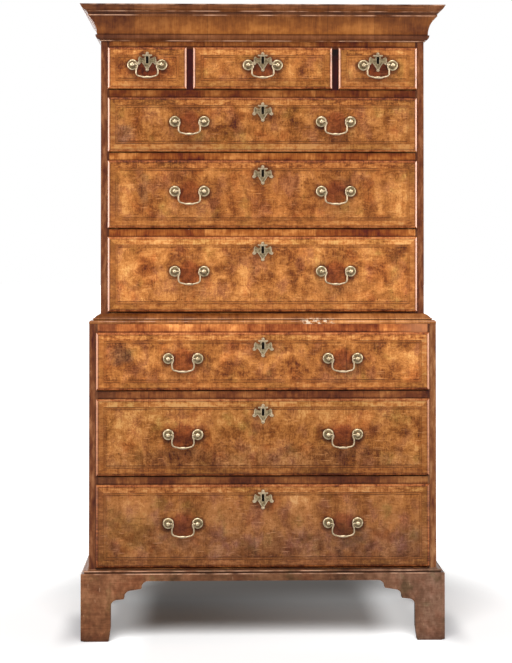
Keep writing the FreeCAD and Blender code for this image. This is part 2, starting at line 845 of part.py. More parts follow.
def bolt_mortise(drawer):
    """Room in the rail above for the bolt to rise into."""
    return box(f"{drawer.name}_bolt_mortise",
               (f"{drawer.centre} - bolt_width / 2 - mortise_clear",
                f"{core_back(drawer)} - bolt_setback - bolt_depth - mortise_clear",
                f"{drawer.floor} + {opening(drawer.front)}"),
               ("bolt_width + 2 * mortise_clear", "bolt_depth + 2 * mortise_clear", "bolt_height"))


def drawer_brasses(drawer):
    """Fixed brasses of one drawer, and its bails."""
    face = f"({drawer.front_plane} - lip_gap - lip)"
    foot = f"({drawer.floor} + front_gap)"
    pivot = f"({foot} + {pull_height(drawer)})"
    fixed = [copy_of(ESCUTCHEON, f"{drawer.name}_escutcheon",
                     (drawer.centre, face, f"{foot} + {escutcheon_height(drawer)}"))]
    for number, (across, facing) in enumerate(post_places(drawer), 1):
        at = (f"{drawer.centre} + {across}", face, pivot)
        fixed.append(copy_of(ROSE, f"{drawer.name}_rose_{number}", at))
        turned = 0 if facing == 1 else 180
        fixed.append(copy_of(POST, f"{drawer.name}_post_{number}", at, Vector(0, 1, 0), turned))
        fixed.append(copy_of(NUT, f"{drawer.name}_nut_{number}", at))
    names = ("bail",) if len(drawer.pulls) == 1 else ("left_bail", "right_bail")
    bails = [copy_of(BAIL, f"{drawer.name}_{name}", (f"{drawer.centre} + {pull}", face, pivot))
             for name, pull in zip(names, drawer.pulls)]
    return [group(f"{drawer.name}_brasses", fixed + lock(drawer))] + bails


# Cases
def pair_of_sides(name, width, front, depth, low, high):
    size = ("side_board", depth, f"{high} - {low}")
    return group(name, [box(f"{name}_left", (f"-{width} / 2", front, low), size),
                        box(f"{name}_right", (f"{width} / 2 - side_board", front, low), size)])


def backboards(name, inner, low, high):
    """Upright planks side by side between the case sides."""
    pitch = f"({inner} / back_planks)"
    planks = []
    for number in range(int(value("back_planks"))):
        left = f"(-{inner} / 2 + {number} * {pitch} + plank_gap / 2)"
        planks.append(box(f"{name}_{number + 1}", (left, f"{BACK} - back_board", low),
                          (f"{pitch} - plank_gap", "back_board", f"{high} - {low}")))
    return group(name, planks)


def inner_board(name, inner, front, depth, rail_depth, top):
    """Board across a case, from the back of the front rail to the backboards."""
    return box(name, (f"-{inner} / 2", f"{front} + {rail_depth}", f"{top} - case_board"),
               (inner, f"{depth} - {rail_depth} - back_board", "case_board"))


def front_rail(name, inner, front, low, height, depth, below):
    """Rail across a case, mortised for the bolts of the drawers below it."""
    bar = box(f"{name}_bar", (f"-{inner} / 2", front, low), (inner, depth, height))
    return cut(name, bar, [bolt_mortise(drawer) for drawer in below]) if below else bar


def drawers_with(front):
    return [drawer for drawer in DRAWERS if drawer.front == front]


def case_rails(name, inner, front, rows, floors, bottom, bottom_height, top_height, top_depth):
    rails = [front_rail(f"{name}_bottom", inner, front, bottom, bottom_height, "rail_depth", [])]
    for row in rows[:-1]:
        low = f"({floors[row]} + {opening(row)})"
        rails.append(front_rail(f"{name}_over_{row}", inner, front, low, "rail", "rail_depth",
                                drawers_with(row)))
    low = f"({floors[rows[-1]]} + {opening(rows[-1])})"
    rails.append(front_rail(f"{name}_top", inner, front, low, top_height, top_depth, drawers_with(rows[-1])))
    return group(name, rails)


def dust_frame(name, front, depth, floor, runners):
    """Runners flush with a rail's top, and thin boards a little lower between them."""
    start = f"({front} + rail_depth)"
    length = f"({depth} - rail_depth - back_board)"
    pieces = []
    for number, (left, width) in enumerate(runners, 1):
        pieces.append(box(f"{name}_runner_{number}", (left, start, f"{floor} - runner_height"),
                          (width, length, "runner_height")))
    for number, (here, following) in enumerate(zip(runners, runners[1:]), 1):
        left = f"({here[0]} + {here[1]})"
        pieces.append(box(f"{name}_dust_board_{number}", (left, start, f"{floor} - dust_drop - dust_board"),
                          (f"{following[0]} - {left}", length, "dust_board")))
    return pieces


def side_runners(inner):
    return [(f"(-{inner} / 2)", "runner_width"), (f"({inner} / 2 - runner_width)", "runner_width")]


def partition_lefts():
    shift = f"({MIDDLE_OPENING} / 2)"
    return [f"(-{shift} - partition)", shift]


def upper_dust_frames():
    """Frames under two long drawers and the short ones, and kickers over the short ones."""
    case = (UPPER_FRONT, UPPER_DEPTH)
    left_side, right_side = side_runners(UPPER_INNER)
    middle = [(f"({left} - runner_width)", "(partition + 2 * runner_width)") for left in partition_lefts()]
    pieces = []
    for row in ("upper_front_2", "upper_front_1"):
        pieces += dust_frame(f"under_{row}", *case, UPPER_FLOORS[row], [left_side, right_side])
    pieces += dust_frame("under_short_front", *case, SHORT_FLOOR, [left_side, *middle, right_side])
    over_partitions = [(left, "partition") for left in partition_lefts()]
    for number, (left, width) in enumerate([left_side, *over_partitions, right_side], 1):
        pieces.append(box(f"kicker_{number}", (left, f"{UPPER_FRONT} + frieze_depth", SHORT_TOP),
                          (width, f"{UPPER_DEPTH} - frieze_depth - back_board", "runner_height")))
    return group("upper_dust_frames", pieces)


def lower_dust_frames():
    case = (LOWER_FRONT, "lower_depth")
    pieces = []
    for row in ("lower_front_2", "lower_front_1"):
        pieces += dust_frame(f"under_{row}", *case, LOWER_FLOORS[row], side_runners(LOWER_INNER))
    return group("lower_dust_frames", pieces)


def partitions():
    size = ("partition", f"{UPPER_DEPTH} - back_board", opening("short_front"))
    return group("upper_partitions", [box(f"upper_partition_{number}", (left, UPPER_FRONT, SHORT_FLOOR), size)
                                      for number, left in enumerate(partition_lefts(), 1)])


UPPER_BOTTOM_TOP = UPPER_FLOORS["upper_front_3"]
LOWER_BOTTOM_TOP = LOWER_FLOORS["lower_front_3"]
PARTS = [
    pair_of_sides("upper_sides", UPPER_WIDTH, UPPER_FRONT, UPPER_DEPTH, LOWER_TOP, UPPER_TOP),
    inner_board("upper_top_board", UPPER_INNER, UPPER_FRONT, UPPER_DEPTH, "frieze_depth", UPPER_TOP),
    inner_board("upper_bottom_board", UPPER_INNER, UPPER_FRONT, UPPER_DEPTH, "rail_depth", UPPER_BOTTOM_TOP),
    case_rails("upper_rails", UPPER_INNER, UPPER_FRONT, UPPER_ROWS, UPPER_FLOORS, LOWER_TOP,
               "upper_bottom_rail", "frieze_rail", "frieze_depth"),
    partitions(),
    upper_dust_frames(),
    backboards("upper_backboards", UPPER_INNER, LOWER_TOP, UPPER_TOP),
    moulding("cornice", CORNICE_PROFILE, "cornice_height", "cornice_projection",
             UPPER_WIDTH, UPPER_DEPTH, UPPER_FRONT, CORNICE_FOOT),
    pair_of_sides("lower_sides", "lower_width", LOWER_FRONT, "lower_depth", "foot_height", LOWER_TOP),
    inner_board("lower_top_board", LOWER_INNER, LOWER_FRONT, "lower_depth", "rail_depth", LOWER_TOP),
    inner_board("lower_bottom_board", LOWER_INNER, LOWER_FRONT, "lower_depth", "rail_depth",
                LOWER_BOTTOM_TOP),
    case_rails("lower_rails", LOWER_INNER, LOWER_FRONT, LOWER_ROWS, LOWER_FLOORS, "foot_height",
               "lower_bottom_rail", "lower_top_rail", "rail_depth"),
    lower_dust_frames(),
    backboards("lower_backboards", LOWER_INNER, "foot_height", LOWER_TOP),
    moulding("waist_moulding", WAIST_PROFILE, "waist_height", "waist_projection",
             UPPER_WIDTH, UPPER_DEPTH, UPPER_FRONT, LOWER_TOP),
    moulding("base_moulding", BASE_PROFILE, "base_height", "base_projection",
             "lower_width", "lower_depth", LOWER_FRONT, "foot_height"),
    front_feet(),
    rear_feet(),
]
for drawer in DRAWERS:
    PARTS.extend(drawer_woodwork(drawer))
    PARTS.extend(drawer_brasses(drawer))

doc.recompute()

# Every feature must be sound before anything is written
for piece in doc.Objects:
    if "Invalid" in piece.State or "Error" in piece.State:
        raise RuntimeError(f"{piece.Label} did not build: {piece.State}")
for piece in PARTS:
    if piece.Shape.isNull() or not piece.Shape.isValid() or not piece.Shape.Solids:
        raise RuntimeError(f"{piece.Label} has no sound solid")

os.makedirs("parts", exist_ok=True)
for piece in PARTS:
    Part.makeCompound(piece.Shape.Solids).exportStep(f"parts/{piece.Label}.step")
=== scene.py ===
# Looks of the walnut chest-on-chest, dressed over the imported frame, in metres.
import json
import math
from collections import namedtuple

import bmesh
import bpy
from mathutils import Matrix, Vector

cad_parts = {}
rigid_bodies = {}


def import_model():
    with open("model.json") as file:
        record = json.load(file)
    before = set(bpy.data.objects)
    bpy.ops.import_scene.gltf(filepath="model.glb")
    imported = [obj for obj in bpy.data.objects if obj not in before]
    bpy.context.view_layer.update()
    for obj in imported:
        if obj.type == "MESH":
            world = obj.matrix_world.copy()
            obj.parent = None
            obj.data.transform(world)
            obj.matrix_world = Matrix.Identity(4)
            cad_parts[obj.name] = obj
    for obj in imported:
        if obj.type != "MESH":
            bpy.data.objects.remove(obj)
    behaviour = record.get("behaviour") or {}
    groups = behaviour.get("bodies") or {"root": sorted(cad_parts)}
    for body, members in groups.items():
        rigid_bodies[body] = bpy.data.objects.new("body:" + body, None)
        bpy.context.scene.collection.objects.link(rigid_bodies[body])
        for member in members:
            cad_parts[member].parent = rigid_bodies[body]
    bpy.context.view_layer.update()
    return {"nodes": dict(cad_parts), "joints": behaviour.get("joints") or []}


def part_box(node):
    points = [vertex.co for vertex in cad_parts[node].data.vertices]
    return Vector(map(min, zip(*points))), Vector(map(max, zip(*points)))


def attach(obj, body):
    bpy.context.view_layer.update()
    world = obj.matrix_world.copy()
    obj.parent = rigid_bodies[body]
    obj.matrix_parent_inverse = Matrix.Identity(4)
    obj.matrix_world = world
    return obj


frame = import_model()

# The camera, fitted to the photograph's 512 x 663 frame
FRAME_HEIGHT = 663
FOCAL_PIXELS = 1625.8
SENSOR = 36.0
CAMERA_PLACE = Vector((-0.1312, -4.7901, 1.0982))
CAMERA_YAW = math.radians(1.407)
CAMERA_PITCH = math.radians(0.701)
CAMERA_SHIFT = -0.16

# Light that a front face sends back, as a multiple of its own colour; the haze that gloss adds; the least
# light that is left without it; and the power that turns display values into light
FACE_LIGHT = 1.87
GLOSS_HAZE = 0.012
DARKEST = 0.003
GAMMA = 2.2

# The drawer fronts, top to bottom: how light each one is, how lively its figure, and how much lighter its
# four bands are than usual
Front = namedtuple("Front", "light lively top bottom left right")
FRONTS = {
    "left_short_drawer": Front(0.99, 0.9, 0.0, 0.15, 0.0, 0.0),
    "middle_short_drawer": Front(0.97, 0.9, 0.0, 0.10, -0.1, 0.0),
    "right_short_drawer": Front(0.96, 0.9, 0.0, 0.10, 0.0, 0.0),
    "upper_drawer_1": Front(0.90, 0.98, -0.04, 0.32, 0.10, -0.05),
    "upper_drawer_2": Front(0.96, 0.86, -0.14, 0.0, -0.10, 0.02),
    "upper_drawer_3": Front(1.01, 0.96, 0.28, 0.05, -0.35, 0.0),
    "lower_drawer_1": Front(1.02, 0.95, 0.06, 0.0, -0.05, 0.22),
    "lower_drawer_2": Front(0.87, 1.0, 0.30, -0.12, 0.05, 0.05),
    "lower_drawer_3": Front(0.92, 0.68, 0.06, -0.16, -0.35, -0.08),
}
DRAWERS = list(FRONTS)

# Veneer on a drawer front: how far in from the outer edge the lip, the banding and the feather line end, how
# far each one fades, the half width of a dark line, and the barbs of the feather line in a metre
LIP_EDGE = 0.0062
LIP_FADE = 0.0008
BAND_EDGE = 0.0222
FEATHER_EDGE = 0.0290
FADE = 0.001
LINE = 0.0021
FEATHER_BARBS = 260

# How far back the walnut goes on a drawer front and on a rail, and how far it fades into the wood behind
VENEER_DEPTH = 0.0085
RAIL_VENEER_DEPTH = 0.003
VENEER_FADE = 0.0006

# Brasses: the posts of a bail from its middle, the dish and rim of a rose, the escutcheon below the top of
# its front, the keyhole above the middle of the escutcheon, from its outer to its inner edge, and the lock
POST_HALF_SPAN = 0.041
DISH_RADIUS = 0.0092
RIM_HEIGHT = 0.003
ESCUTCHEON_DROP = 0.040
ESCUTCHEON_HALF_WIDTH = 0.031
PLATE = 0.0016
KEYHOLE_RISE = 0.0037
KEYHOLE_HALF_WIDTH = (0.0042, 0.0034)
KEYHOLE_HALF_HEIGHT = (0.0104, 0.0092)
LOCK_HALF_WIDTH = 0.036


def tone(red, green, blue):
    """The colour of a surface that shows with these display values, 0 to 255, on a lit front."""
    shown = [(value / 255) ** GAMMA for value in (red, green, blue)]
    return tuple(max(value - GLOSS_HAZE, DARKEST) / FACE_LIGHT for value in shown) + (1.0,)


def tones(light, *shown):
    """Several such colours, all made lighter or darker."""
    return [tone(*(light * value for value in colour)) for colour in shown]


class Field:
    """A number that varies over a surface: arithmetic on it adds Math nodes to its shader."""

    def __init__(self, shader, socket):
        self.shader = shader
        self.socket = socket

    def __add__(self, other):
        return self.shader.math("ADD", self, other)

    def __sub__(self, other):
        return self.shader.math("SUBTRACT", self, other)

    def __rsub__(self, other):
        return self.shader.math("SUBTRACT", other, self)

    def __mul__(self, other):
        return self.shader.math("MULTIPLY", self, other)

    def __abs__(self):
        return self.shader.math("ABSOLUTE", self)

    __radd__ = __add__
    __rmul__ = __mul__

    def least(self, other):
        return self.shader.math("MINIMUM", self, other)

    def most(self, other):
        return self.shader.math("MAXIMUM", self, other)

    def above(self, limit):
        return self.shader.math("GREATER_THAN", self, limit)

    def fold(self, width):
        """Runs to and fro between 0 and width, as the leaves of book-matched veneer do."""
        return self.shader.math("PINGPONG", self, width)

    def rise(self, low, high):
        """0 at low, 1 at high and smooth between; low may be the larger."""
        node = self.shader.add("MapRange", {"Value": self, "From Min": low, "From Max": high},
                               interpolation_type="SMOOTHSTEP")
        return Field(self.shader, node.outputs["Result"])


class Shader:
    """A procedural material, painted by place in the object's own frame."""

    def __init__(self, name):
        self.material = bpy.data.materials.new(name)
        self.material.use_nodes = True
        self.tree = self.material.node_tree
        self.surface = self.tree.nodes["Principled BSDF"]
        place = self.add("TexCoord").outputs["Object"]
        self.x, self.y, self.z = self.split(place)
        facing = self.add("NewGeometry").outputs["True Normal"]
        self.facing_x, self.facing_y, self.facing_z = self.split(facing)

    def add(self, kind, inputs=None, **settings):
        node = self.tree.nodes.new("ShaderNode" + kind)
        for key, value in settings.items():
            setattr(node, key, value)
        for key, value in (inputs or {}).items():
            self.feed(node.inputs[key], value)
        return node

    def feed(self, socket, value):
        if isinstance(value, Field):
            self.tree.links.new(value.socket, socket)
        else:
            socket.default_value = value

    def split(self, vector):
        node = self.add("SeparateXYZ")
        self.tree.links.new(vector, node.inputs[0])
        return [Field(self, socket) for socket in node.outputs]

    def join(self, *parts):
        return Field(self, self.add("CombineXYZ", dict(enumerate(parts))).outputs[0])

    def math(self, operation, *values):
        return Field(self, self.add("Math", dict(enumerate(values)), operation=operation).outputs[0])

    def reach(self, across, up):
        """Distance from a point whose offsets are given."""
        return self.math("SQRT", across * across + up * up)

    def noise(self, point, detail=2.0, rough=0.5, warp=0.0):
        """Soft noise about one unit across, centred on a half."""
        inputs = {"Vector": self.join(*point), "Scale": 1.0, "Detail": detail, "Roughness": rough,
                  "Distortion": warp}
        return Field(self, self.add("TexNoise", inputs).outputs["Fac"])

    def blocks(self, along):
        """A random number for each uneven block of about one unit, and the distance to its joints."""
        inputs = {"W": along, "Scale": 1.0}
        cell = self.add("TexVoronoi", inputs, voronoi_dimensions="1D")
        joint = self.add("TexVoronoi", inputs, voronoi_dimensions="1D", feature="DISTANCE_TO_EDGE")
        chance = self.add("SeparateColor", {"Color": Field(self, cell.outputs["Color"])})
        return Field(self, chance.outputs["Red"]), Field(self, joint.outputs["Distance"])

    def ramp(self, value, *colours):
        """Colours spread evenly from 0 to 1."""
        node = self.add("ValToRGB", {"Fac": value})
        stops = node.color_ramp.elements
        for index in range(len(colours) - 2):
            stops.new((index + 1) / (len(colours) - 1))
        for stop, colour in zip(stops, colours):
            stop.color = colour
        return Field(self, node.outputs["Color"])

    def blend(self, share, low, high, how="MIX"):
        """The colour low where share is 0, high where it is 1."""
        node = self.add("Mix", data_type="RGBA", blend_type=how)
        for socket, value in ((node.inputs[0], share), (node.inputs[6], low), (node.inputs[7], high)):
            self.feed(socket, value)
        return Field(self, node.outputs[2])

    def tint(self, share, colour, filter_colour):
        """Puts a colour filter over part of a surface and keeps its grain."""
        return self.blend(share, colour, filter_colour, "MULTIPLY")

    def switch(self, share, low, high):
        """low + share * (high - low), for numbers."""
        return low + share * (high - low)

    def bump(self, height, depth):
        """Relief of the given depth in metres."""
        node = self.add("Bump", {"Height": height, "Distance": depth, "Strength": 1.0})
        self.tree.links.new(node.outputs["Normal"], self.surface.inputs["Normal"])

    def finish(self, colour, rough, **settings):
        self.feed(self.surface.inputs["Base Color"], colour)
        self.feed(self.surface.inputs["Roughness"], rough)
        for key, value in settings.items():
            self.feed(self.surface.inputs[key.replace("_", " ")], value)
        return self.material


# Filters that shift walnut towards red, olive, grey or mauve, and one that darkens it, both for grime and
# joints and as painted shade in gaps, quirks and round the brasses
REDDEN = (1.0, 0.80, 0.72, 1.0)
OLIVE = (0.80, 0.95, 0.84, 1.0)
GREY = (0.72, 0.84, 1.50, 1.0)
MAUVE = (0.84, 0.80, 1.25, 1.0)
DIRT_AND_SHADE = (0.30, 0.22, 0.20, 1.0)

# Filters for the lip, the painted shadow under a bail, the red wear inside it, and the keyhole and its rim
# painted black as shade
LIP_BROWN = (0.62, 0.44, 0.40, 1.0)
UNDER_BAIL_SHADOW = (0.74, 0.70, 0.76, 1.0)
RED_WEAR = (0.72, 0.50, 0.44, 1.0)
KEYHOLE_SHADE_FILTER = (0.02, 0.02, 0.02, 1.0)

# Walnut of the field and the banding, dark to light, of the feather line, of a pale scratch and of the lip,
# worn pale and painted with highlight; the first three as they show on a front of light 1
FIELD_WALNUT = ((84, 44, 28), (136, 80, 45), (176, 111, 60), (213, 140, 78), (244, 178, 108))
BAND_WALNUT = ((108, 58, 38), (176, 105, 58), (220, 142, 80), (250, 184, 114))
FEATHER_WALNUT = ((176, 108, 58), (128, 74, 40))
PALE_SCRATCH = (240, 172, 112)
WORN_AND_LIT_LIP = (232, 164, 128)

# A mark that belongs to one drawer front: offsets from its middle, half sizes, and how strong it is;
# a mark on both sides is mirrored about the middle
Mark = namedtuple("Mark", "kind across up wide tall share both", defaults=(False,))
MARK_LIFT = {"shade": -0.30, "gold": 0.28, "red": -0.13, "grey": -0.14, "olive": -0.12}
MARK_FILTER = {"red": REDDEN, "grey": GREY, "olive": OLIVE}
MARKS = {
    "left_short_drawer": [
        Mark("shade", -0.085, 0.005, 0.020, 0.035, 0.5),
        Mark("red", 0.010, 0.000, 0.090, 0.040, 0.8),
    ],
    "middle_short_drawer": [
        Mark("gold", -0.105, 0.000, 0.022, 0.045, 0.5),
        Mark("gold", 0.082, 0.000, 0.012, 0.040, 0.8),
        Mark("shade", 0.125, 0.000, 0.026, 0.030, 0.6),
        Mark("red", -0.175, 0.000, 0.018, 0.060, 0.8),
    ],
    "right_short_drawer": [
        Mark("olive", 0.060, 0.000, 0.014, 0.035, 0.8),
        Mark("red", 0.000, -0.012, 0.040, 0.030, 0.8),
    ],
    "upper_drawer_1": [
        Mark("grey", -0.395, -0.028, 0.040, 0.030, 0.9),
        Mark("shade", -0.100, -0.010, 0.040, 0.045, 0.5),
        Mark("shade", 0.030, -0.005, 0.110, 0.060, 0.32),
        Mark("shade", 0.165, -0.014, 0.020, 0.022, 0.9),
        Mark("gold", 0.330, 0.000, 0.020, 0.050, 0.3),
        Mark("gold", 0.405, 0.010, 0.020, 0.045, 0.3),
        Mark("gold", -0.050, 0.048, 0.060, 0.014, 0.6),
    ],
    "upper_drawer_2": [
        Mark("gold", -0.380, 0.005, 0.022, 0.060, 0.6),
        Mark("grey", -0.420, -0.010, 0.016, 0.060, 0.9),
        Mark("grey", -0.335, 0.000, 0.016, 0.050, 0.7),
        Mark("red", 0.000, -0.030, 0.150, 0.050, 0.35),
        Mark("gold", 0.370, -0.005, 0.070, 0.060, 0.65),
    ],
    "upper_drawer_3": [
        Mark("shade", 0.088, 0.010, 0.024, 0.055, 0.60, True),
        Mark("red", 0.331, 0.005, 0.034, 0.050, 0.5, True),
        Mark("gold", -0.385, 0.040, 0.040, 0.050, 0.8),
        Mark("gold", -0.050, -0.020, 0.040, 0.045, 0.4),
        Mark("shade", 0.040, -0.030, 0.120, 0.050, 0.4),
        Mark("red", 0.395, -0.010, 0.030, 0.070, 0.4),
    ],
    "lower_drawer_1": [
        Mark("grey", -0.398, 0.017, 0.036, 0.034, 1.0),
        Mark("shade", -0.398, 0.017, 0.034, 0.030, 0.35),
        Mark("gold", 0.400, 0.000, 0.040, 0.036, 0.9),
        Mark("gold", -0.310, 0.012, 0.040, 0.030, 0.6),
        Mark("shade", 0.080, -0.020, 0.060, 0.030, 0.4, True),
    ],
    "lower_drawer_2": [
        Mark("gold", -0.380, 0.025, 0.060, 0.060, 0.8),
        Mark("red", 0.223, 0.025, 0.070, 0.045, 0.40, True),
        Mark("gold", 0.000, 0.055, 0.420, 0.030, 0.5),
        Mark("grey", 0.000, -0.070, 0.500, 0.050, 0.5),
    ],
    "lower_drawer_3": [
        Mark("gold", 0.095, 0.072, 0.050, 0.022, 0.9),
        Mark("gold", -0.330, 0.050, 0.120, 0.035, 0.4),
        Mark("olive", -0.360, -0.020, 0.080, 0.060, 0.7),
        Mark("grey", 0.330, -0.060, 0.140, 0.060, 0.6),
        Mark("grey", 0.000, -0.060, 0.300, 0.050, 0.5),
    ],
}


def grain(shader, along, across, seed):
    """Wood grain: broad, fine and hair-thin streaks that run along one way and vary across it."""
    broad = shader.noise((along * 9, across * 90, seed), 3.0, 0.55, 0.4)
    fine = shader.noise((along * 40, across * 340, seed + 7), 2.0, 0.6)
    hair = shader.noise((along * 90, across * 1700, seed + 13), 2.0, 0.6)
    return broad, fine, hair


def leaf_figure(shader, across, up, leaf, seed):
    """How light the figured veneer is, about a half: clouds and flames are mirrored from leaf to leaf."""
    drift = shader.noise((across * 6, up * 6, seed + 31), 2.0) * 0.05
    side = across.fold(leaf) + drift
    cloud = shader.noise((side * 14, up * 10, seed), 3.0, 0.55, 0.8).rise(0.34, 0.66)
    mottle = shader.noise((across * 32, up * 40, seed + 3), 4.0, 0.72, 0.7).rise(0.36, 0.64)
    speck = shader.noise((across * 210, up * 180, seed + 4), 3.0, 0.85)
    flame = shader.noise((side * 95, up * 10, seed + 5), 3.0, 0.6, 0.5)
    thread = shader.noise((across * 280, up * 32, seed + 6), 3.0, 0.7)
    ripple = shader.noise((across * 40, up * 250, seed + 7), 3.0, 0.7)
    patch = shader.noise((across * 22, up * 26, seed + 8), 2.0).rise(0.46, 0.64)
    lines = shader.switch(patch, thread, ripple)
    return cloud * 0.34 + mottle * 0.30 + speck * 1.05 + flame * 0.38 + lines * 0.70 - 0.885


def mark_share(shader, mark, across, up, ragged):
    """How much a mark shows: full in its middle, with a ragged soft edge."""
    side = abs(across) if mark.both else across
    away = shader.reach((side - mark.across) * (1 / mark.wide), (up - mark.up) * (1 / mark.tall))
    return (away + ragged).rise(1.25, 0.35) * mark.share


def field_wear(shader, colour, across, up, leaf, seed):
    """Adds pale and dark scratches, pits and the joints of the leaves."""
    scratch = shader.noise((across * 26, up * 360, seed + 61), 1.0)
    colour = shader.blend(scratch.rise(0.66, 0.74) * 0.5, colour, tone(*PALE_SCRATCH))
    colour = shader.tint(scratch.rise(0.33, 0.25) * 0.6, colour, DIRT_AND_SHADE)
    pit = shader.noise((across * 190, up * 190, seed + 71), 1.0)
    colour = shader.tint(pit.rise(0.68, 0.75) * 0.8, colour, DIRT_AND_SHADE)
    side = across.fold(leaf)
    joint = side.least(leaf - side)
    return shader.tint(joint.rise(0.0016, 0.0004) * 0.3, colour, DIRT_AND_SHADE)


def figured_field(shader, name, across, up, leaf, seed):
    """Colour and relief of the main veneer of a drawer front."""
    figure = leaf_figure(shader, across, up, leaf, seed)
    ragged = (shader.noise((across * 34, up * 34, seed + 50), 3.0, 0.6) - 0.5) * 1.8
    shares = [(mark.kind, mark_share(shader, mark, across, up, ragged)) for mark in MARKS[name]]
    figure = (figure - 0.5) * FRONTS[name].lively + 0.5
    for kind, share in shares:
        figure = figure + share * MARK_LIFT[kind]
    colour = shader.ramp(figure, *tones(FRONTS[name].light, *FIELD_WALNUT))
    hue = shader.noise((across * 15, up * 12, seed + 21), 3.0, 0.6)
    colour = shader.tint(hue.rise(0.52, 0.72) * 0.8, colour, REDDEN)
    colour = shader.tint(hue.rise(0.46, 0.28), colour, OLIVE)
    dull = shader.noise((across * 19, up * 13, seed + 25), 3.0, 0.6)
    colour = shader.tint(dull.rise(0.46, 0.68) * (1 - figure.rise(0.55, 0.85)), colour, MAUVE)
    for kind, share in shares:
        if kind in MARK_FILTER:
            colour = shader.tint(share, colour, MARK_FILTER[kind])
    return field_wear(shader, colour, across, up, leaf, seed), figure


def cross_band(shader, front, across, up, inset, along, upright, seed):
    """Colour of the cross-banding, its slow change along the edge, and its fine and its hair-thin grain."""
    broad, fine, hair = grain(shader, inset, along, seed + 40)
    sheet, joint = shader.blocks(along * 11 + upright * 5 + seed)
    stretch = shader.noise((across * 7, up * 7, seed + 46), 2.0, 0.5)
    ragged = shader.noise((across * 40, up * 95, seed + 47), 4.0, 0.80)
    ends = shader.switch(up.above(0.0), front.bottom, front.top)
    sides = shader.switch(across.above(0.0), front.left, front.right)
    lift = shader.switch(upright, ends, sides)
    figure = sheet * 0.16 + broad * 0.6 + fine * 1.0 + ragged * 2.9 + stretch * 0.9 + lift - 2.36
    band = shader.ramp(figure, *tones(front.light, *BAND_WALNUT))
    band = shader.tint(joint.rise(0.022, 0.0) * sheet.above(0.55) * 0.25, band, DIRT_AND_SHADE)
    return band, stretch, fine, hair


def veneered_front(name, seed):
    """Walnut front: figured leaves inside a feather line and cross-banding, with a lip moulding round it."""
    low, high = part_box(f"{name}_front")
    front = FRONTS[name]
    shader = Shader(f"{name}_veneer")
    width, height = high.x - low.x, high.z - low.z
    across = shader.x - (low.x + high.x) / 2
    up = shader.z - (low.z + high.z) / 2
    side_gap = width / 2 - abs(across)
    end_gap = height / 2 - abs(up)
    inset = side_gap.least(end_gap)
    upright = end_gap.above(side_gap)
    along = shader.switch(upright, across, up)
    worn = shader.noise((across * 24, up * 24, seed + 44), 3.0, 0.6)

    leaf = width / 2 if "short" in name else width / 4
    colour, figure = figured_field(shader, name, across, up, leaf, seed)

    chevron = shader.math("FRACT", (along + abs(inset - (BAND_EDGE + FEATHER_EDGE) / 2)) * FEATHER_BARBS)
    feather = shader.ramp(chevron, *tones(front.light, *FEATHER_WALNUT))
    colour = shader.blend(inset.rise(FEATHER_EDGE, FEATHER_EDGE - FADE) * 0.45, colour, feather)
    for line_inset in (BAND_EDGE, FEATHER_EDGE):
        line = abs(inset - line_inset).rise(LINE, LINE * 0.3) * worn.rise(0.30, 0.55)
        colour = shader.tint(line * shader.switch(upright, 0.80, 0.35), colour, DIRT_AND_SHADE)

    band, stretch, fine, hair = cross_band(shader, front, across, up, inset, along, upright, seed)
    ends_share = shader.switch(up.above(0.0), 0.48, 0.80)
    band_share = shader.switch(upright, ends_share, 0.36)
    colour = shader.blend(inset.rise(BAND_EDGE, BAND_EDGE - FADE) * band_share, colour, band)
    faded_band = stretch.rise(0.52, 0.36) * inset.rise(BAND_EDGE, BAND_EDGE - 2 * FADE)
    colour = shader.tint(faded_band * 0.6, colour, OLIVE)
    # Painted shadow line just inside the lip, where it meets the banding
    colour = shader.tint(abs(inset - LIP_EDGE - LIP_FADE).rise(0.0016, 0.0006) * 0.6, colour, DIRT_AND_SHADE)
    dull = shader.z.rise(0.50, 0.28) * (stretch.rise(0.30, 0.60) * 0.35 + 0.35)
    colour = shader.tint(dull, colour, GREY)
    colour = handle_grime_and_shade(shader, colour, name, low, high, seed)

    lip = inset.rise(LIP_EDGE, LIP_EDGE - LIP_FADE)
    colour = shader.blend(lip, colour, shader.tint(0.8, band, LIP_BROWN))
    upright_lip = lip * upright
    # The upright lips are worn pale and painted with a highlight that fades lower down
    worn_and_lit_lip = upright_lip * shader.z.rise(0.1, 0.9) * worn.rise(0.2, 0.5)
    colour = shader.blend(worn_and_lit_lip * 0.85, colour, tone(*WORN_AND_LIT_LIP))
    bright = upright_lip * shader.z.rise(0.3, 1.1)

    behind = shader.y.rise(low.y + VENEER_DEPTH, low.y + VENEER_DEPTH + VENEER_FADE)
    colour = shader.blend(behind, colour, bare_wood(shader, shader.x, shader.z, seed, OAK))
    shader.bump(figure * 0.3 + fine * 0.3 + hair * 0.4, 0.00012)
    rough = 0.40 + worn * 0.12 - bright * 0.22 + behind * 0.3
    return shader.finish(colour, rough, Coat_Weight=bright * 0.7, Coat_Roughness=0.22,
                         Coat_IOR=2.0, Specular_IOR_Level=0.12)


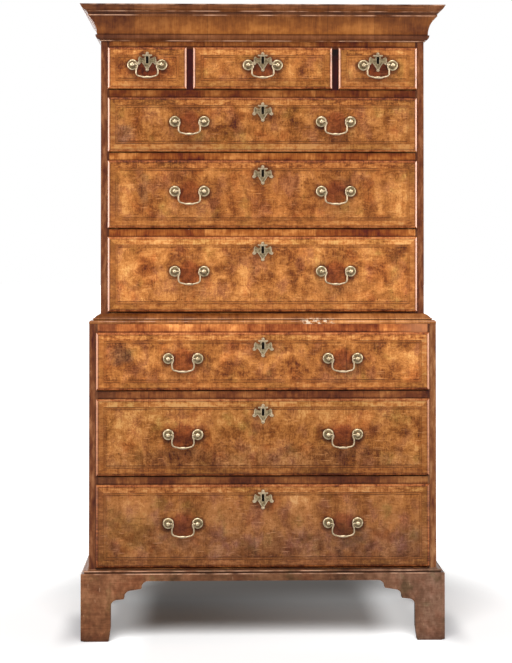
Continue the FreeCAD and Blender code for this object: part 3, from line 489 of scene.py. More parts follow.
def handle_grime_and_shade(shader, colour, name, low, high, seed):
    """Painted shadow under the bails and round the roses, grime and painted shadow round the escutcheon, red
    wear inside the bails, and the keyhole painted black as shade.
    """
    centre = (low.x + high.x) / 2
    ragged = (shader.noise((shader.x * 70, shader.z * 70, seed + 80), 3.0, 0.6) - 0.5) * 0.016
    for joint in frame["joints"]:
        if joint["parent"] != name:
            continue
        pivot_x, _, pivot_z = joint["pos_m"]
        up = shader.z - pivot_z
        span = abs(shader.x - pivot_x)
        # Painted shadow under each bail
        under = shader.reach(span * 0.65, up + 0.036) + ragged * 2.0
        colour = shader.tint(under.rise(0.062, 0.020) * 0.75, colour, UNDER_BAIL_SHADOW)
        rub = shader.reach(span * 0.95, (up + 0.006) * 0.9) + ragged
        colour = shader.tint(rub.rise(0.040, 0.024), colour, RED_WEAR)
        # Painted shadow round the outer sides of the roses
        halo = shader.reach(span - POST_HALF_SPAN - 0.001, up + 0.003) + ragged * 0.7
        colour = shader.tint(halo.rise(0.026, 0.015) * 0.8, colour, DIRT_AND_SHADE)
    # Grime and painted shadow round the escutcheon
    plate = shader.reach((shader.x - centre) * 0.88, shader.z - (high.z - ESCUTCHEON_DROP)) + ragged
    colour = shader.tint(plate.rise(0.035, 0.024) * 0.55, colour, DIRT_AND_SHADE)
    # The keyhole and a rim round it are painted black as shade of the hole
    return shader.tint(keyhole(shader, centre, high.z), colour, KEYHOLE_SHADE_FILTER)


def keyhole(shader, centre, top):
    """1 in the keyhole and on a rim round it, where the dark of the hole is painted as shade."""
    up = shader.z - (top - ESCUTCHEON_DROP + KEYHOLE_RISE)
    return abs(shader.x - centre).rise(*KEYHOLE_HALF_WIDTH) * abs(up).rise(*KEYHOLE_HALF_HEIGHT)


# Dark to light bare woods, as they show
OAK = ((122, 86, 50), (168, 126, 78), (204, 164, 110))
PINE = ((88, 60, 38), (128, 94, 60), (160, 124, 84))


def bare_wood(shader, along, across, seed, wood):
    """Colour of plain oak or pine."""
    broad, fine, hair = grain(shader, along, across, seed + 60)
    stain = shader.noise((shader.x * 6, shader.y * 6, shader.z * 6), 4.0, 0.6, 0.5)
    return shader.ramp(broad * 0.7 + fine * 0.5 + hair * 0.4 + stain * 0.7 - 0.65, *tones(1.0, *wood))


def lengthwise(shader):
    """1 on faces that look to the left or right, and the place along the length of a moulding or rail."""
    endwise = abs(shader.facing_x).rise(0.5, 0.6)
    return endwise, shader.switch(endwise, shader.x, shader.y)


def cross_veneer(shader, seed, colours, lively=1.0):
    """Colour and relief of walnut laid across the length, in long stretches of one sheet and the next."""
    _, along = lengthwise(shader)
    sheet, joint = shader.blocks(along * 6 + seed)
    stretch = shader.noise((along * 8, shader.z * 13, seed), 2.0, 0.5)
    broad, fine, hair = grain(shader, shader.z, along, seed)
    blotch = shader.noise((along * 45, shader.z * 60, seed + 4), 2.0, 0.6)
    figure = sheet * 0.35 + stretch * 1.7 + broad * 0.7 + fine * 0.6 + blotch * 0.8 - 1.58
    colour = shader.ramp((figure - 0.5) * lively + 0.5, *colours)
    colour = shader.tint(joint.rise(0.012, 0.0) * 0.5 * lively, colour, DIRT_AND_SHADE)
    return colour, fine * 0.4 + hair * 0.6


def height_share(shader, box):
    """0 at the bottom of a box, 1 at its top."""
    low, high = box
    return (shader.z - low.z) * (1 / (high.z - low.z))


# Half height of a worn arris, and the pale colour put there for bare wood and for a painted highlight
ARRIS_HALF = 0.0017
BARE_AND_LIT_ARRIS = (232, 182, 150)


def worn_and_lit_arrises(shader, colour, box, levels, seed, share):
    """Pale stretches along the arrises of a moulding, bare wood and painted highlight, at these shares of the
    height of its box.
    """
    low, high = box
    rub = shader.noise((shader.x * 16, shader.y * 16, seed + 90), 4.0, 0.65)
    for number, level in enumerate(levels):
        height = low.z + level * (high.z - low.z)
        line = abs(shader.z - height).rise(ARRIS_HALF, ARRIS_HALF * 0.4)
        bare = shader.noise((shader.x * 11, shader.y * 11, seed + 9 * number), 3.0, 0.6)
        colour = shader.blend(line * bare.rise(0.42, 0.62) * share, colour, tone(*BARE_AND_LIT_ARRIS))
    return shader.tint(rub.rise(0.62, 0.78) * 0.4, colour, DIRT_AND_SHADE)


def polished(shader, colour, relief, rough=0.38):
    """Waxed walnut of the case."""
    shader.bump(relief, 0.00015)
    return shader.finish(colour, rough, Coat_Weight=0.04, Coat_Roughness=0.2, Specular_IOR_Level=0.12)


# How light each rail is, by the drawer that it lies below, and how light the other rails of a case are
RAIL_LIGHT = {
    "left_short_drawer": 0.86, "upper_drawer_1": 1.0, "upper_drawer_2": 1.05,
    "lower_drawer_1": 0.88, "lower_drawer_2": 0.82,
}
OTHER_RAIL_LIGHT = {"upper": 0.86, "lower": 1.25}
RAIL_WALNUT = ((84, 42, 28), (124, 67, 40), (164, 98, 55), (216, 144, 84))

# The middle of a rail below the front over it, the painted shadow lines of the gaps above and below that
# middle, the filter on the left ends of the lower rails, and the pale right end of the top one
RAIL_DROP = 0.012
RAIL_GAP_SHADOW = 0.0125
LEFT_END_SHADE = (0.52, 0.46, 0.52, 1.0)
PALE_RIGHT_END = (206, 138, 96)


def rail_veneer(case, seed):
    """Cross-grained walnut on the front edges of the rails, with painted shadow lines at the drawer gaps,
    plain wood behind it.
    """
    low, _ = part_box(f"{case}_rails")
    shader = Shader(f"{case}_rail_veneer")
    light = OTHER_RAIL_LIGHT[case]
    colour, relief = cross_veneer(shader, seed, tones(light, *RAIL_WALNUT))
    for name, rail_light in RAIL_LIGHT.items():
        if case not in name and not (case == "upper" and "short" in name):
            continue
        off_middle = abs(shader.z - (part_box(f"{name}_front")[0].z - RAIL_DROP))
        dim = (rail_light / light) ** GAMMA
        colour = shader.tint(off_middle.rise(0.024, 0.018), colour, (dim, dim, dim, 1.0))
        # Painted shadow lines in the gaps above and below each rail
        off_gap = abs(RAIL_GAP_SHADOW - off_middle)
        colour = shader.tint(off_gap.rise(0.005, 0.001) * 0.85, colour, DIRT_AND_SHADE)
    drawer_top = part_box("left_short_drawer_front" if case == "upper" else "lower_drawer_1_front")[1].z
    # Painted shadow line just above the top drawers
    colour = shader.tint(abs(shader.z - drawer_top).rise(0.0055, 0.0030) * 0.8, colour, DIRT_AND_SHADE)
    if case == "lower":
        colour = shader.tint(shader.x.rise(-0.405, -0.415), colour, LEFT_END_SHADE)
        on_top = shader.z.above(drawer_top - 0.004)
        colour = shader.blend(shader.x.rise(0.36, 0.44) * on_top * 0.6, colour, tone(*PALE_RIGHT_END))
    behind = shader.y.rise(low.y + RAIL_VENEER_DEPTH, low.y + RAIL_VENEER_DEPTH + VENEER_FADE)
    colour = shader.blend(behind, colour, bare_wood(shader, shader.x, shader.z, seed, PINE))
    return polished(shader, colour, relief)


# Walnut of the case sides and of their front edges, the filter of the paler edge, the depth of the facing
# on an edge, and the joint of the two sheets on a side
SIDE_WALNUT = ((84, 42, 26), (132, 76, 44), (176, 110, 62), (214, 148, 92))
EDGE_WALNUT = ((78, 42, 28), (120, 72, 48), (164, 110, 76))
PALE_EDGE = (1.40, 1.70, 1.80, 1.0)
EDGE_DEPTH = 0.002
SIDE_JOINT_Y = 0.01


def side_veneer(case, seed):
    """Case side: long-grained walnut outside, a worn facing on its front edge with painted shadow along its
    inner side by the drawers, bare wood inside.
    """
    low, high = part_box(f"{case}_sides")
    front_y, half_width = low.y, high.x
    shader = Shader(f"{case}_side_veneer")
    broad, fine, hair = grain(shader, shader.z, shader.y, seed)
    cloud = shader.noise((shader.y * 6, shader.z * 2.5, seed + 9), 3.0, 0.6, 0.6)
    flame = shader.noise((shader.y * 30, shader.z * 3.5, seed + 12), 4.0, 0.65, 0.8)
    mottle = shader.noise((shader.y * 60, shader.z * 40, seed + 15), 3.0, 0.7)
    figure = cloud * 1.1 + flame * 1.1 + broad * 0.8 + fine * 0.4 + hair * 0.2 + mottle * 0.7 - 1.65
    outside = shader.ramp(figure, *tones(1.0, *SIDE_WALNUT))
    joint = abs(shader.y - SIDE_JOINT_Y).rise(0.0015, 0.0005)
    outside = shader.tint(joint * 0.5, outside, DIRT_AND_SHADE)

    worn = shader.noise((shader.x * 60, shader.z * 14, seed + 20), 4.0, 0.65)
    edge = shader.ramp(worn * 2.6 - 0.8, *tones(1.0, *EDGE_WALNUT))
    if case == "lower":
        edge = shader.tint(shader.x.above(0.0), edge, PALE_EDGE)
    inward = half_width - abs(shader.x)
    # Painted shadow along the inner side of the front edge, next to the drawer lips
    lip_shadow = inward.rise(0.0150, 0.0190)
    at_front = shader.y.rise(front_y + EDGE_DEPTH, front_y + EDGE_DEPTH * 0.75)
    colour = shader.blend(at_front, outside, shader.tint(lip_shadow * 0.7, edge, DIRT_AND_SHADE))
    inside = inward.rise(0.0015, 0.0030) * shader.y.above(front_y + EDGE_DEPTH)
    colour = shader.blend(inside, colour, bare_wood(shader, shader.z, shader.y, seed, PINE))
    return polished(shader, colour, fine * 0.4 + hair * 0.6, 0.44)


# Walnut of the cornice, filters for its parts, and its arrises as shares of its height
CORNICE_WALNUT = ((108, 60, 34), (164, 100, 52), (214, 140, 74))
CORNICE_LIGHT = 0.96
CAVETTO_SHADE = (0.72, 0.68, 0.78, 1.0)
CROWN_GREY = (0.92, 1.00, 1.60, 1.0)
BEAD_DARK = (0.60, 0.58, 1.00, 1.0)
CORNICE_ARRISES = (0.02, 0.707, 0.815, 0.985)


def cornice_veneer(seed):
    """Cross-grained cornice: greyish crown, cavetto with painted light low in its middle and painted shade
    above and at its ends, dark bead, painted shade in its quirks.
    """
    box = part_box("cornice")
    shader = Shader("cornice_veneer")
    colour, relief = cross_veneer(shader, seed, tones(CORNICE_LIGHT, *CORNICE_WALNUT), 0.8)
    level = height_share(shader, box)
    # Painted light low in the middle of the cavetto, painted shade above it under the crown and towards its
    # ends
    lit_cavetto = level.rise(0.72, 0.30) * abs(shader.x - 0.02).rise(0.50, 0.12)
    colour = shader.tint(1 - lit_cavetto, colour, CAVETTO_SHADE)
    crown = level.rise(0.64, 0.70)
    bead = level.rise(0.20, 0.17)
    colour = shader.tint(crown, colour, CROWN_GREY)
    colour = shader.tint(bead, colour, BEAD_DARK)
    streak = shader.noise((shader.x * 12, shader.y * 12, shader.z * 230), 2.0, 0.6)
    colour = shader.tint(streak.rise(0.48, 0.62) * crown * 0.5, colour, DIRT_AND_SHADE)
    colour = shader.tint(level.rise(0.95, 0.985) * 0.7, colour, DIRT_AND_SHADE)
    # Painted shade in the two quirks of the cornice
    quirk = abs(level - 0.19).rise(0.03, 0.015).most(abs(level - 0.765).rise(0.04, 0.02))
    colour = shader.tint(quirk * 0.7, colour, DIRT_AND_SHADE)
    colour = worn_and_lit_arrises(shader, colour, box, CORNICE_ARRISES, seed, 0.75)
    return polished(shader, colour, relief)


# Walnut of the waist moulding, filters for its slope and its ends, its arrises, and its chips
WAIST_WALNUT = ((120, 68, 38), (180, 114, 64), (232, 160, 98))
WAIST_SLOPE = (0.60, 0.52, 0.46, 1.0)
WAIST_ENDS = (0.66, 0.66, 0.74, 1.0)
WAIST_ARRISES = (0.26, 0.50)
CHIPS_X = 0.152
FRESH_CHIP = (240, 216, 186)


def waist_veneer(seed):
    """Cross-grained waist moulding with pale chips along its nosing, and painted shade in its recess and
    under its nosing.
    """
    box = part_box("waist_moulding")
    shader = Shader("waist_veneer")
    colour, relief = cross_veneer(shader, seed, tones(1.0, *WAIST_WALNUT))
    level = height_share(shader, box)
    colour = shader.tint(level.rise(0.52, 0.62), colour, WAIST_SLOPE)
    # Painted shade in the recess below the fillet and under the nosing
    recess = abs(level - 0.41).rise(0.07, 0.03).most(level.rise(0.07, 0.02))
    colour = shader.tint(recess * 0.7, colour, DIRT_AND_SHADE)
    colour = worn_and_lit_arrises(shader, colour, box, WAIST_ARRISES, seed, 0.4)
    colour = shader.tint(abs(shader.x - 0.02).rise(0.33, 0.46) * 0.8, colour, WAIST_ENDS)
    chip = shader.noise((shader.x * 75, shader.z * 120, seed + 3), 2.0, 0.6)
    chipped = abs(shader.x - CHIPS_X).rise(0.055, 0.025) * level.rise(0.62, 0.50)
    colour = shader.blend(chipped * chip.rise(0.50, 0.58) * 0.85, colour, tone(*FRESH_CHIP))
    colour = shader.tint(chipped * chip.rise(0.44, 0.36) * 0.8, colour, DIRT_AND_SHADE)
    return polished(shader, colour, relief)


# Walnut of the base moulding and feet, its scratches, filters for its parts, and the arrises of the moulding
FOOT_WALNUT = ((80, 50, 35), (132, 88, 62), (180, 126, 92))
FOOT_SCRATCH = (206, 160, 128)
RIGHT_GREY = (0.86, 1.08, 1.55, 1.0)
BETWEEN_FEET = (0.71, 0.73, 0.74, 1.0)
GAP_SHADOW = (0.08, 0.05, 0.04, 1.0)
BASE_ARRISES = (0.63, 0.84)


def plinth_walnut(seed):
    """Long-grained walnut of the base moulding and feet, one continuous surface, with worn arrises and
    painted highlight on them, painted shade in its quirk and in the gap under the drawer, darker at the
    floor, and painted shade on faces that look inward and back.
    """
    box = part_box("base_moulding")
    shader = Shader("plinth_walnut")
    endwise, along = lengthwise(shader)
    broad, fine, hair = grain(shader, along, shader.z, seed)
    cloud = shader.noise((along * 16, shader.z * 12, seed + 5), 3.0, 0.6, 0.6)
    mottle = shader.noise((along * 90, shader.z * 60, seed + 6), 2.0, 0.6)
    figure = cloud * 1.3 + broad * 0.5 + fine * 0.4 + mottle * 0.7 - 0.95
    colour = shader.ramp(figure, *tones(1.0, *FOOT_WALNUT))
    hue = shader.noise((along * 22, shader.z * 16, seed + 7), 3.0, 0.6)
    colour = shader.tint(hue.rise(0.50, 0.66) * 0.6, colour, REDDEN)
    colour = shader.tint(hue.rise(0.46, 0.32), colour, OLIVE)
    colour = shader.tint(shader.x.rise(0.1, 0.5), colour, RIGHT_GREY)
    between = abs(shader.x).rise(0.36, 0.24) * (1 - endwise)
    colour = shader.tint(between, colour, BETWEEN_FEET)
    scratch = shader.noise((along * 160, shader.z * 30, seed + 8), 2.0, 0.6)
    colour = shader.blend(scratch.rise(0.66, 0.76) * 0.4, colour, tone(*FOOT_SCRATCH))
    level = height_share(shader, box)
    # Painted shade in the quirk of the base moulding
    quirk = abs(level - 0.72).rise(0.08, 0.04)
    colour = shader.tint(quirk * 0.8, colour, DIRT_AND_SHADE)
    colour = worn_and_lit_arrises(shader, colour, box, BASE_ARRISES, seed, 0.6)
    # Painted shadow in the gap under the lowest drawer
    gap = level.rise(0.90, 0.98) * abs(shader.x).rise(0.467, 0.464) * (1 - endwise)
    colour = shader.tint(gap, colour, GAP_SHADOW)
    # Darker at the floor, and painted shade on faces that look inward and back
    inward = (shader.x * shader.facing_x).rise(0.0, -0.1).most(shader.facing_y.rise(0.3, 0.6))
    darker_low_and_shade = (shader.z.rise(0.03, 0.0) * 0.6).most(inward * 0.9)
    colour = shader.tint(darker_low_and_shade, colour, DIRT_AND_SHADE)
    return polished(shader, colour, fine * 0.4 + hair * 0.6, 0.5)


# Filters and colours of bare boards: shaded planks, dust, rusty nails and their stains, oak flakes and wear
# by hands; the spacing of nails along a plank and as a share of its width, and the width of a bottom board
PLANK_SHADE = (0.72, 0.70, 0.68, 1.0)
DUST = (0.62, 0.60, 0.58, 1.0)
RUST = (0.035, 0.024, 0.018, 1.0)
RUST_STAIN = (0.42, 0.30, 0.24, 1.0)
OAK_FLAKE = (216, 180, 128)
HANDLED_OAK = (0.66, 0.62, 0.58, 1.0)
NAIL_PITCH = 0.29
NAIL_ASIDE = 0.28
BOTTOM_BOARD = 0.17


def board_wood(name, along, across, seed, wood, rough, plank=None):
    """Bare boards: along and across name the axes of the grain, plank is the width of one board."""
    shader = Shader(name)
    axes = {"x": shader.x, "y": shader.y, "z": shader.z}
    colour = bare_wood(shader, axes[along], axes[across], seed, wood)
    if plank:
        number = shader.math("FLOOR", axes[across] * (1 / plank))
        shade = shader.noise((number * 3.7, seed, 0.5), 0.0)
        colour = shader.tint(shade.rise(0.3, 0.7), colour, PLANK_SHADE)
        colour = flush_nails(shader, colour, axes[across], axes[along], plank)
    _, fine, hair = grain(shader, axes[along], axes[across], seed)
    dust = shader.noise((shader.x * 22, shader.y * 22, shader.z * 22), 3.0, 0.6)
    colour = shader.tint(dust.rise(0.55, 0.75) * 0.5, colour, DUST)
    shader.bump(fine * 0.4 + hair * 0.6, 0.00025)
    return shader.finish(colour, rough, Specular_IOR_Level=0.25)


def flush_nails(shader, colour, across, along, plank):
    """Rusty nail heads in pairs across each plank, with a stain that has run into the wood."""
    aside = abs(across.fold(plank / 2) - plank * NAIL_ASIDE)
    level = along.fold(NAIL_PITCH / 2)
    head = shader.reach(aside, level).rise(0.0048, 0.0040)
    stain = shader.reach(aside * 1.6, level * 0.5).rise(0.016, 0.004) * 0.5
    colour = shader.tint(stain, colour, RUST_STAIN)
    return shader.blend(head, colour, RUST)


def drawer_oak(seed):
    """Oak of the drawer boxes: sides along the depth, back along the width, bottom in joined boards."""
    shader = Shader("drawer_oak")
    on_back = abs(shader.facing_y).rise(0.5, 0.6)
    on_bottom = abs(shader.facing_z).rise(0.5, 0.6)
    along = shader.switch(on_back, shader.y, shader.x)
    across = shader.switch(on_bottom, shader.z, shader.x)
    colour = bare_wood(shader, along, across, seed, OAK)
    flake = shader.noise((along * 60, across * 130, seed + 2), 2.0, 0.6)
    colour = shader.blend(flake.rise(0.60, 0.72) * 0.35, colour, tone(*OAK_FLAKE))
    joint = shader.x.fold(BOTTOM_BOARD / 2)
    colour = shader.tint(joint.rise(0.0012, 0.0004) * on_bottom * 0.7, colour, DIRT_AND_SHADE)
    handled = shader.noise((shader.x * 14, shader.y * 14, shader.z * 14), 3.0, 0.6)
    colour = shader.tint(handled.rise(0.52, 0.75) * 0.5, colour, HANDLED_OAK)
    shader.bump(flake, 0.0002)
    return shader.finish(colour, 0.66, Specular_IOR_Level=0.25)


# Brass that is pale, worn or dull, polished by hands, or in the dish of a rose; the hollows, the flats and
# the borders of an escutcheon, with painted highlight; the painted shade of a keyhole and the iron of a lock
PALE_BRASS = (0.48, 0.39, 0.255, 1.0)
WORN_BRASS = (0.31, 0.245, 0.145, 1.0)
DULL_BRASS = (0.12, 0.10, 0.05, 1.0)
HANDLED_BRASS = (0.36, 0.275, 0.18, 1.0)
DISH_BRASS = (0.22, 0.185, 0.12, 1.0)
HOLLOW_BRASS = (0.10, 0.070, 0.034, 1.0)
FLAT_BRASS = (0.40, 0.30, 0.17, 1.0)
BORDER_HIGHLIGHT_BRASS = (0.56, 0.44, 0.29, 1.0)
KEYHOLE_SHADE_COLOUR = (0.004, 0.003, 0.003, 1.0)
IRON = (0.16, 0.14, 0.12, 1.0)

# A point on the V of an escutcheon, out from its middle and up from its centre, and the way that the V faces
VEE_POINT = (0.004, -0.0204)
VEE_FACING = (0.843, -0.539)


def aged_brass(shader):
    """Colour, roughness and relief of brass gone pale and uneven."""
    patch = shader.noise((shader.x * 110, shader.y * 110, shader.z * 110), 3.0, 0.6)
    fine = shader.noise((shader.x * 900, shader.y * 900, shader.z * 900), 2.0, 0.5)
    colour = shader.ramp(patch * 1.8 - 0.4, DULL_BRASS, WORN_BRASS, PALE_BRASS, PALE_BRASS)
    return colour, 0.26 + patch * 0.14 + fine * 0.06, fine


def bail_brass(name):
    """Brass of the bails and pins, kept bright by hands."""
    shader = Shader(name)
    colour, rough, fine = aged_brass(shader)
    colour = shader.blend(0.6, colour, HANDLED_BRASS)
    shader.bump(fine, 0.00004)
    return shader.finish(colour, rough, Metallic=1.0)


def escutcheon_highlight(middle, up):
    """1 along the borders of an escutcheon that get a painted highlight: its V, wing tips, top leaf and
    beside the keyhole.
    """
    outside = (middle - VEE_POINT[0]) * VEE_FACING[0] + (up - VEE_POINT[1]) * VEE_FACING[1]
    vee = outside.rise(-0.0030, -0.0012) * up.rise(-0.002, -0.006)
    wings = middle.rise(0.0205, 0.0240)
    leaf = up.rise(0.0140, 0.0165)
    beside = abs(middle - 0.0048).rise(0.0016, 0.0006) * abs(up - 0.004).rise(0.012, 0.009) * 0.8
    return vee.most(wings).most(leaf).most(beside)


def mount_brass(drawer):
    """Brass of the roses, posts and escutcheon, dark in its hollows, with painted highlight on the
    escutcheon's borders and painted shade in its keyhole, and the iron of the lock.
    """
    low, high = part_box(f"{drawer}_front")
    shader = Shader(f"{drawer}_brass")
    colour, rough, fine = aged_brass(shader)
    face = low.y
    for joint in frame["joints"]:
        if joint["parent"] == drawer:
            pivot_x, _, pivot_z = joint["pos_m"]
            away = shader.reach(abs(shader.x - pivot_x) - POST_HALF_SPAN, shader.z - pivot_z)
            dish = away.rise(DISH_RADIUS + 0.0008, DISH_RADIUS - 0.0004) * shader.y.above(face - RIM_HEIGHT)
            colour = shader.blend(dish * 0.85, colour, DISH_BRASS)
    centre = (low.x + high.x) / 2
    middle = abs(shader.x - centre)
    up = shader.z - (high.z - ESCUTCHEON_DROP)
    on_plate = middle.rise(ESCUTCHEON_HALF_WIDTH, ESCUTCHEON_HALF_WIDTH - 0.001)
    plate = on_plate * shader.y.above(face - PLATE - 0.0002)
    cast = shader.noise((shader.x * 160, shader.z * 160, 3.0), 3.0, 0.6)
    relief = shader.blend(cast.rise(0.3, 0.7), HOLLOW_BRASS, FLAT_BRASS)
    # Painted highlight along the escutcheon's borders
    relief = shader.blend(escutcheon_highlight(middle, up) * cast.rise(0.2, 0.6), relief, BORDER_HIGHLIGHT_BRASS)
    colour = shader.blend(plate * 0.85, colour, relief)
    # The keyhole and a rim round it are painted black as shade
    colour = shader.blend(keyhole(shader, centre, high.z), colour, KEYHOLE_SHADE_COLOUR)
    lock = middle.rise(LOCK_HALF_WIDTH + 0.002, LOCK_HALF_WIDTH) * shader.y.above(face + 0.004)
    colour = shader.blend(lock, colour, IRON)
    shader.bump(fine, 0.00006)
    return shader.finish(colour, rough + lock * 0.25, Metallic=1.0)


# Where in the noise each surface lies, so that no two look alike
SEEDS = {
    "upper": 3.0, "lower": 11.0, "partitions": 21.0, "cornice": 31.0, "waist": 41.0, "plinth": 51.0,
    "boards": 71.0, "backs": 73.0, "drawer_boxes": 81.0, "fronts": 101.0,
}
FRONT_SEED_STEP = 17.0

BACK_PLANKS = 4
# Walnut of the partitions between the short drawers, made nearly black: partly the wood and partly painted
# shade between the drawer lips
SHADED_PARTITION_WALNUT = ((44, 12, 10), (62, 26, 20), (84, 40, 30))


def paint(node, material):
    """Puts a material on a CAD node."""
    for slot in frame["nodes"][node].material_slots:
        slot.material = material


def paint_case():
    """Materials of the fixed case."""
    flat = board_wood("pine_boards", "x", "y", SEEDS["boards"], PINE, 0.75)
    for case in ("upper", "lower"):
        seed = SEEDS[case]
        paint(f"{case}_sides", side_veneer(case, seed))
        paint(f"{case}_rails", rail_veneer(case, seed))
        for part in ("top_board", "bottom_board", "dust_frames"):
            paint(f"{case}_{part}", flat)
        low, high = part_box(f"{case}_backboards")
        plank = (high.x - low.x) / BACK_PLANKS
        backs = board_wood(f"{case}_backs", "z", "x", SEEDS["backs"] + seed, PINE, 0.8, plank)
        paint(f"{case}_backboards", backs)
    shader = Shader("partition_veneer")
    colour, relief = cross_veneer(shader, SEEDS["partitions"], tones(1.0, *SHADED_PARTITION_WALNUT))
    paint("upper_partitions", polished(shader, colour, relief))
    paint("cornice", cornice_veneer(SEEDS["cornice"]))
    paint("waist_moulding", waist_veneer(SEEDS["waist"]))
    plinth = plinth_walnut(SEEDS["plinth"])
    for node in ("base_moulding", "front_bracket_feet", "rear_bracket_feet"):
        paint(node, plinth)


def paint_drawers():
    """Materials of the drawers and their brasses."""
    oak = drawer_oak(SEEDS["drawer_boxes"])
    bright = bail_brass("bail_brass")
    for index, name in enumerate(DRAWERS):
        paint(f"{name}_front", veneered_front(name, SEEDS["fronts"] + FRONT_SEED_STEP * index))
        paint(f"{name}_box", oak)
        paint(f"{name}_brasses", mount_brass(name))
        for node in frame["nodes"]:
            if node.startswith(name) and node.endswith("bail"):
                paint(node, bright)


# Domed heads of pins: sides, rings up the dome, and the share of the height that the rim is sunk
HEAD_SIDES = 14
HEAD_RINGS = [math.radians(angle) for angle in (0, 20, 42, 66)]
HEAD_SUNK = 0.2


def round_heads(name, spots, out, radius, height, material, body):
    """Domed heads in one mesh, each with its rim sunk a little below its spot and facing along out."""
    turn = Vector(out).to_track_quat("Z", "Y")
    levels = [(radius, -HEAD_SUNK * height)]
    levels += [(radius * math.cos(angle), height * math.sin(angle)) for angle in HEAD_RINGS]
    build = bmesh.new()
    for spot in spots:
        rings = []
        for ring_radius, level in levels:
            ring = []
            for side in range(HEAD_SIDES):
                angle = 2 * math.pi * side / HEAD_SIDES
                corner = Vector((ring_radius * math.cos(angle), ring_radius * math.sin(angle), level))
                ring.append(build.verts.new(Vector(spot) + turn @ corner))
            rings.append(ring)
        for low, high in zip(rings, rings[1:]):
            for side in range(HEAD_SIDES):
                build.faces.new((low[side - 1], low[side], high[side], high[side - 1]))
        build.faces.new(rings[0][::-1])
        build.faces.new(rings[-1])
    for face in build.faces:
        face.smooth = len(face.verts) == 4
    mesh = bpy.data.meshes.new(name)
    build.to_mesh(mesh)
    build.free()
    mesh.materials.append(material)
    heads = bpy.data.objects.new(name, mesh)
    bpy.context.scene.collection.objects.link(heads)
    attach(heads, body)


# Pins of an escutcheon, from its centre: the top finial and the foot, and the smaller ones of its two wings
Pins = namedtuple("Pins", "kind spots radius height")
PINS = (
    Pins("pins", ((0.0, 0.0229), (0.0, -0.0236)), 0.0024, 0.0015),
    Pins("wing_pins", ((-0.0252, -0.0044), (0.0252, -0.0044)), 0.0018, 0.0011),
)
OUTWARD = (0, -1, 0)


def add_pins():
    """The pins that hold each escutcheon."""
    bright = bpy.data.materials["bail_brass"]
    for name in DRAWERS:
        low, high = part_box(f"{name}_front")
        centre = (low.x + high.x) / 2
        level = high.z - ESCUTCHEON_DROP
        for pins in PINS:
            spots = [(centre + across, low.y - PLATE, level + up) for across, up in pins.spots]
            round_heads(f"{name}_{pins.kind}", spots, OUTWARD, pins.radius, pins.height,
                        bright, name)


def make_camera():
    """The camera where the photograph was taken from."""
    data = bpy.data.cameras.new("camera")
    data.sensor_width = SENSOR
    data.lens = FOCAL_PIXELS / FRAME_HEIGHT * SENSOR
    data.shift_y = CAMERA_SHIFT
    camera = bpy.data.objects.new("camera", data)
    bpy.context.scene.collection.objects.link(camera)
    level = math.cos(CAMERA_PITCH)
    aim = Vector((math.sin(CAMERA_YAW) * level, math.cos(CAMERA_YAW) * level, math.sin(CAMERA_PITCH)))
    camera.location = CAMERA_PLACE
    camera.rotation_mode = "QUATERNION"
    camera.rotation_quaternion = aim.to_track_quat("-Z", "Y")
    bpy.context.scene.camera = camera


def add_light(name, kind, place, aim, energy):
    """A light at a place, turned towards another, that the camera does not see."""
    data = bpy.data.lights.new(name, kind)
    data.energy = energy
    light = bpy.data.objects.new(name, data)
    bpy.context.scene.collection.objects.link(light)
    light.location = place
    light.rotation_mode = "QUATERNION"
    light.rotation_quaternion = (Vector(aim) - Vector(place)).to_track_quat("-Z", "Y")
    light.visible_camera = False
    return light


# The light of the room and of the key light
WHITE = (1.0, 1.0, 1.0, 1.0)
ROOM_GLOW = 0.25
KEY_PLACE = (-0.2, -1.9, 2.4)
KEY_ENERGY = 3.6
KEY_SPREAD = math.radians(40)

# Panels of light along both sides of the object, and one behind it
PANEL_LENGTH = 4.1
PANEL_HEIGHT = 1.9
PANEL_GLOW = 4.5
PANEL_OUT = 2.3
PANEL_Y = -1.55
PANEL_Z = 1.8
BACK_PANEL = 2.0
BACK_GLOW = 4.0
BACK_PLACE = (0, 3.0, 1.5)
BACK_AIM = (0, 0, 1.0)


def make_world():
    """A dim white room that the camera sees as white paper."""
    sky = bpy.data.worlds.new("studio")
    sky.use_nodes = True
    nodes, links = sky.node_tree.nodes, sky.node_tree.links
    room = nodes["Background"]
    room.inputs["Color"].default_value = WHITE
    room.inputs["Strength"].default_value = ROOM_GLOW
    paper = nodes.new("ShaderNodeBackground")
    paper.inputs["Color"].default_value = WHITE
    mix = nodes.new("ShaderNodeMixShader")
    path = nodes.new("ShaderNodeLightPath")
    links.new(path.outputs["Is Camera Ray"], mix.inputs[0])
    links.new(room.outputs[0], mix.inputs[1])
    links.new(paper.outputs[0], mix.inputs[2])
    links.new(mix.outputs[0], nodes["World Output"].inputs["Surface"])
    bpy.context.scene.world = sky


def add_panel(name, place, aim, length, height, glow, receivers):
    """An evenly glowing rectangle that lights only its receivers."""
    panel = add_light(name, "AREA", place, aim, math.pi * length * height * glow)
    panel.data.shape = "RECTANGLE"
    panel.data.size = length
    panel.data.size_y = height
    panel.light_linking.receiver_collection = receivers


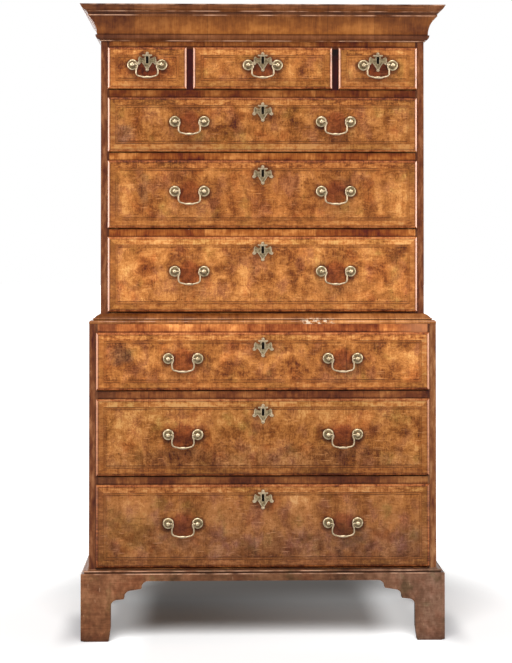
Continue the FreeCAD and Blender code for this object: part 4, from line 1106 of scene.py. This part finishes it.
def make_lights(floor):
    """The key light, and panels that light everything but the floor."""
    key = add_light("key", "SUN", KEY_PLACE, (0, 0, 0), KEY_ENERGY)
    key.data.angle = KEY_SPREAD
    receivers = bpy.data.collections.new("not_lit_by_panels")
    receivers.objects.link(floor)
    receivers.collection_objects[0].light_linking.link_state = "EXCLUDE"
    for name, side in (("left_panel", -1), ("right_panel", 1)):
        add_panel(name, (PANEL_OUT * side, PANEL_Y, PANEL_Z), (0, PANEL_Y, PANEL_Z),
                  PANEL_LENGTH, PANEL_HEIGHT, PANEL_GLOW, receivers)
    add_panel("back_panel", BACK_PLACE, BACK_AIM, BACK_PANEL, BACK_PANEL, BACK_GLOW, receivers)


# The floor: how far it goes, its white, its shade behind and beside the chest, and where the middles of the
# feet and the sides of the base are
FLOOR_REACH = 40.0
FLOOR_WHITE = (0.92, 0.92, 0.92, 1.0)
SHADE_BEHIND = (0.50, 0.49, 0.48, 1.0)
SHADE_BESIDE = (0.54, 0.53, 0.54, 1.0)
FOOT_X = 0.43
SIDE_X = 0.50


def floor_paper():
    """White paper that glows as painted light far off, round the feet and under the middle of the chest, with
    painted shade behind and beside the chest.
    """
    shader = Shader("pale_floor")
    side = abs(shader.x)
    far = shader.reach(shader.x, shader.y * 1.2).rise(0.72, 1.25) * side.rise(0.35, 0.70) * 0.5
    near_feet = abs(side - FOOT_X).rise(0.135, 0.02) * abs(shader.y).rise(0.6, 0.2)
    middle = side.rise(0.50, 0.30) * abs(shader.y).rise(0.5, 0.2) * shader.x.rise(-0.30, 0.35) * 0.10
    glow = far + middle + near_feet * shader.switch(shader.x.above(0.0), 0.24, 0.42)
    behind = side.rise(0.44, 0.26) * shader.y.rise(0.05, 0.32) * shader.y.rise(1.3, 0.6)
    beside = abs(side - SIDE_X).rise(0.10, 0.01) * abs(shader.y + 0.10).rise(0.26, 0.08)
    colour = shader.blend(behind, FLOOR_WHITE, SHADE_BEHIND)
    colour = shader.tint(beside, colour, SHADE_BESIDE)
    return shader.finish(colour, 0.9, Emission_Color=WHITE, Emission_Strength=glow)


def make_floor():
    """A wide flat floor of white paper."""
    mesh = bpy.data.meshes.new("floor")
    corners = [(x * FLOOR_REACH, y * FLOOR_REACH, 0) for x, y in ((-1, -1), (1, -1), (1, 1), (-1, 1))]
    mesh.from_pydata(corners, [], [(0, 1, 2, 3)])
    mesh.materials.append(floor_paper())
    floor = bpy.data.objects.new("floor", mesh)
    bpy.context.scene.collection.objects.link(floor)
    return floor


paint_case()
paint_drawers()
add_pins()
make_camera()
make_world()
make_lights(make_floor())
bpy.context.scene.view_settings.view_transform = "Standard"
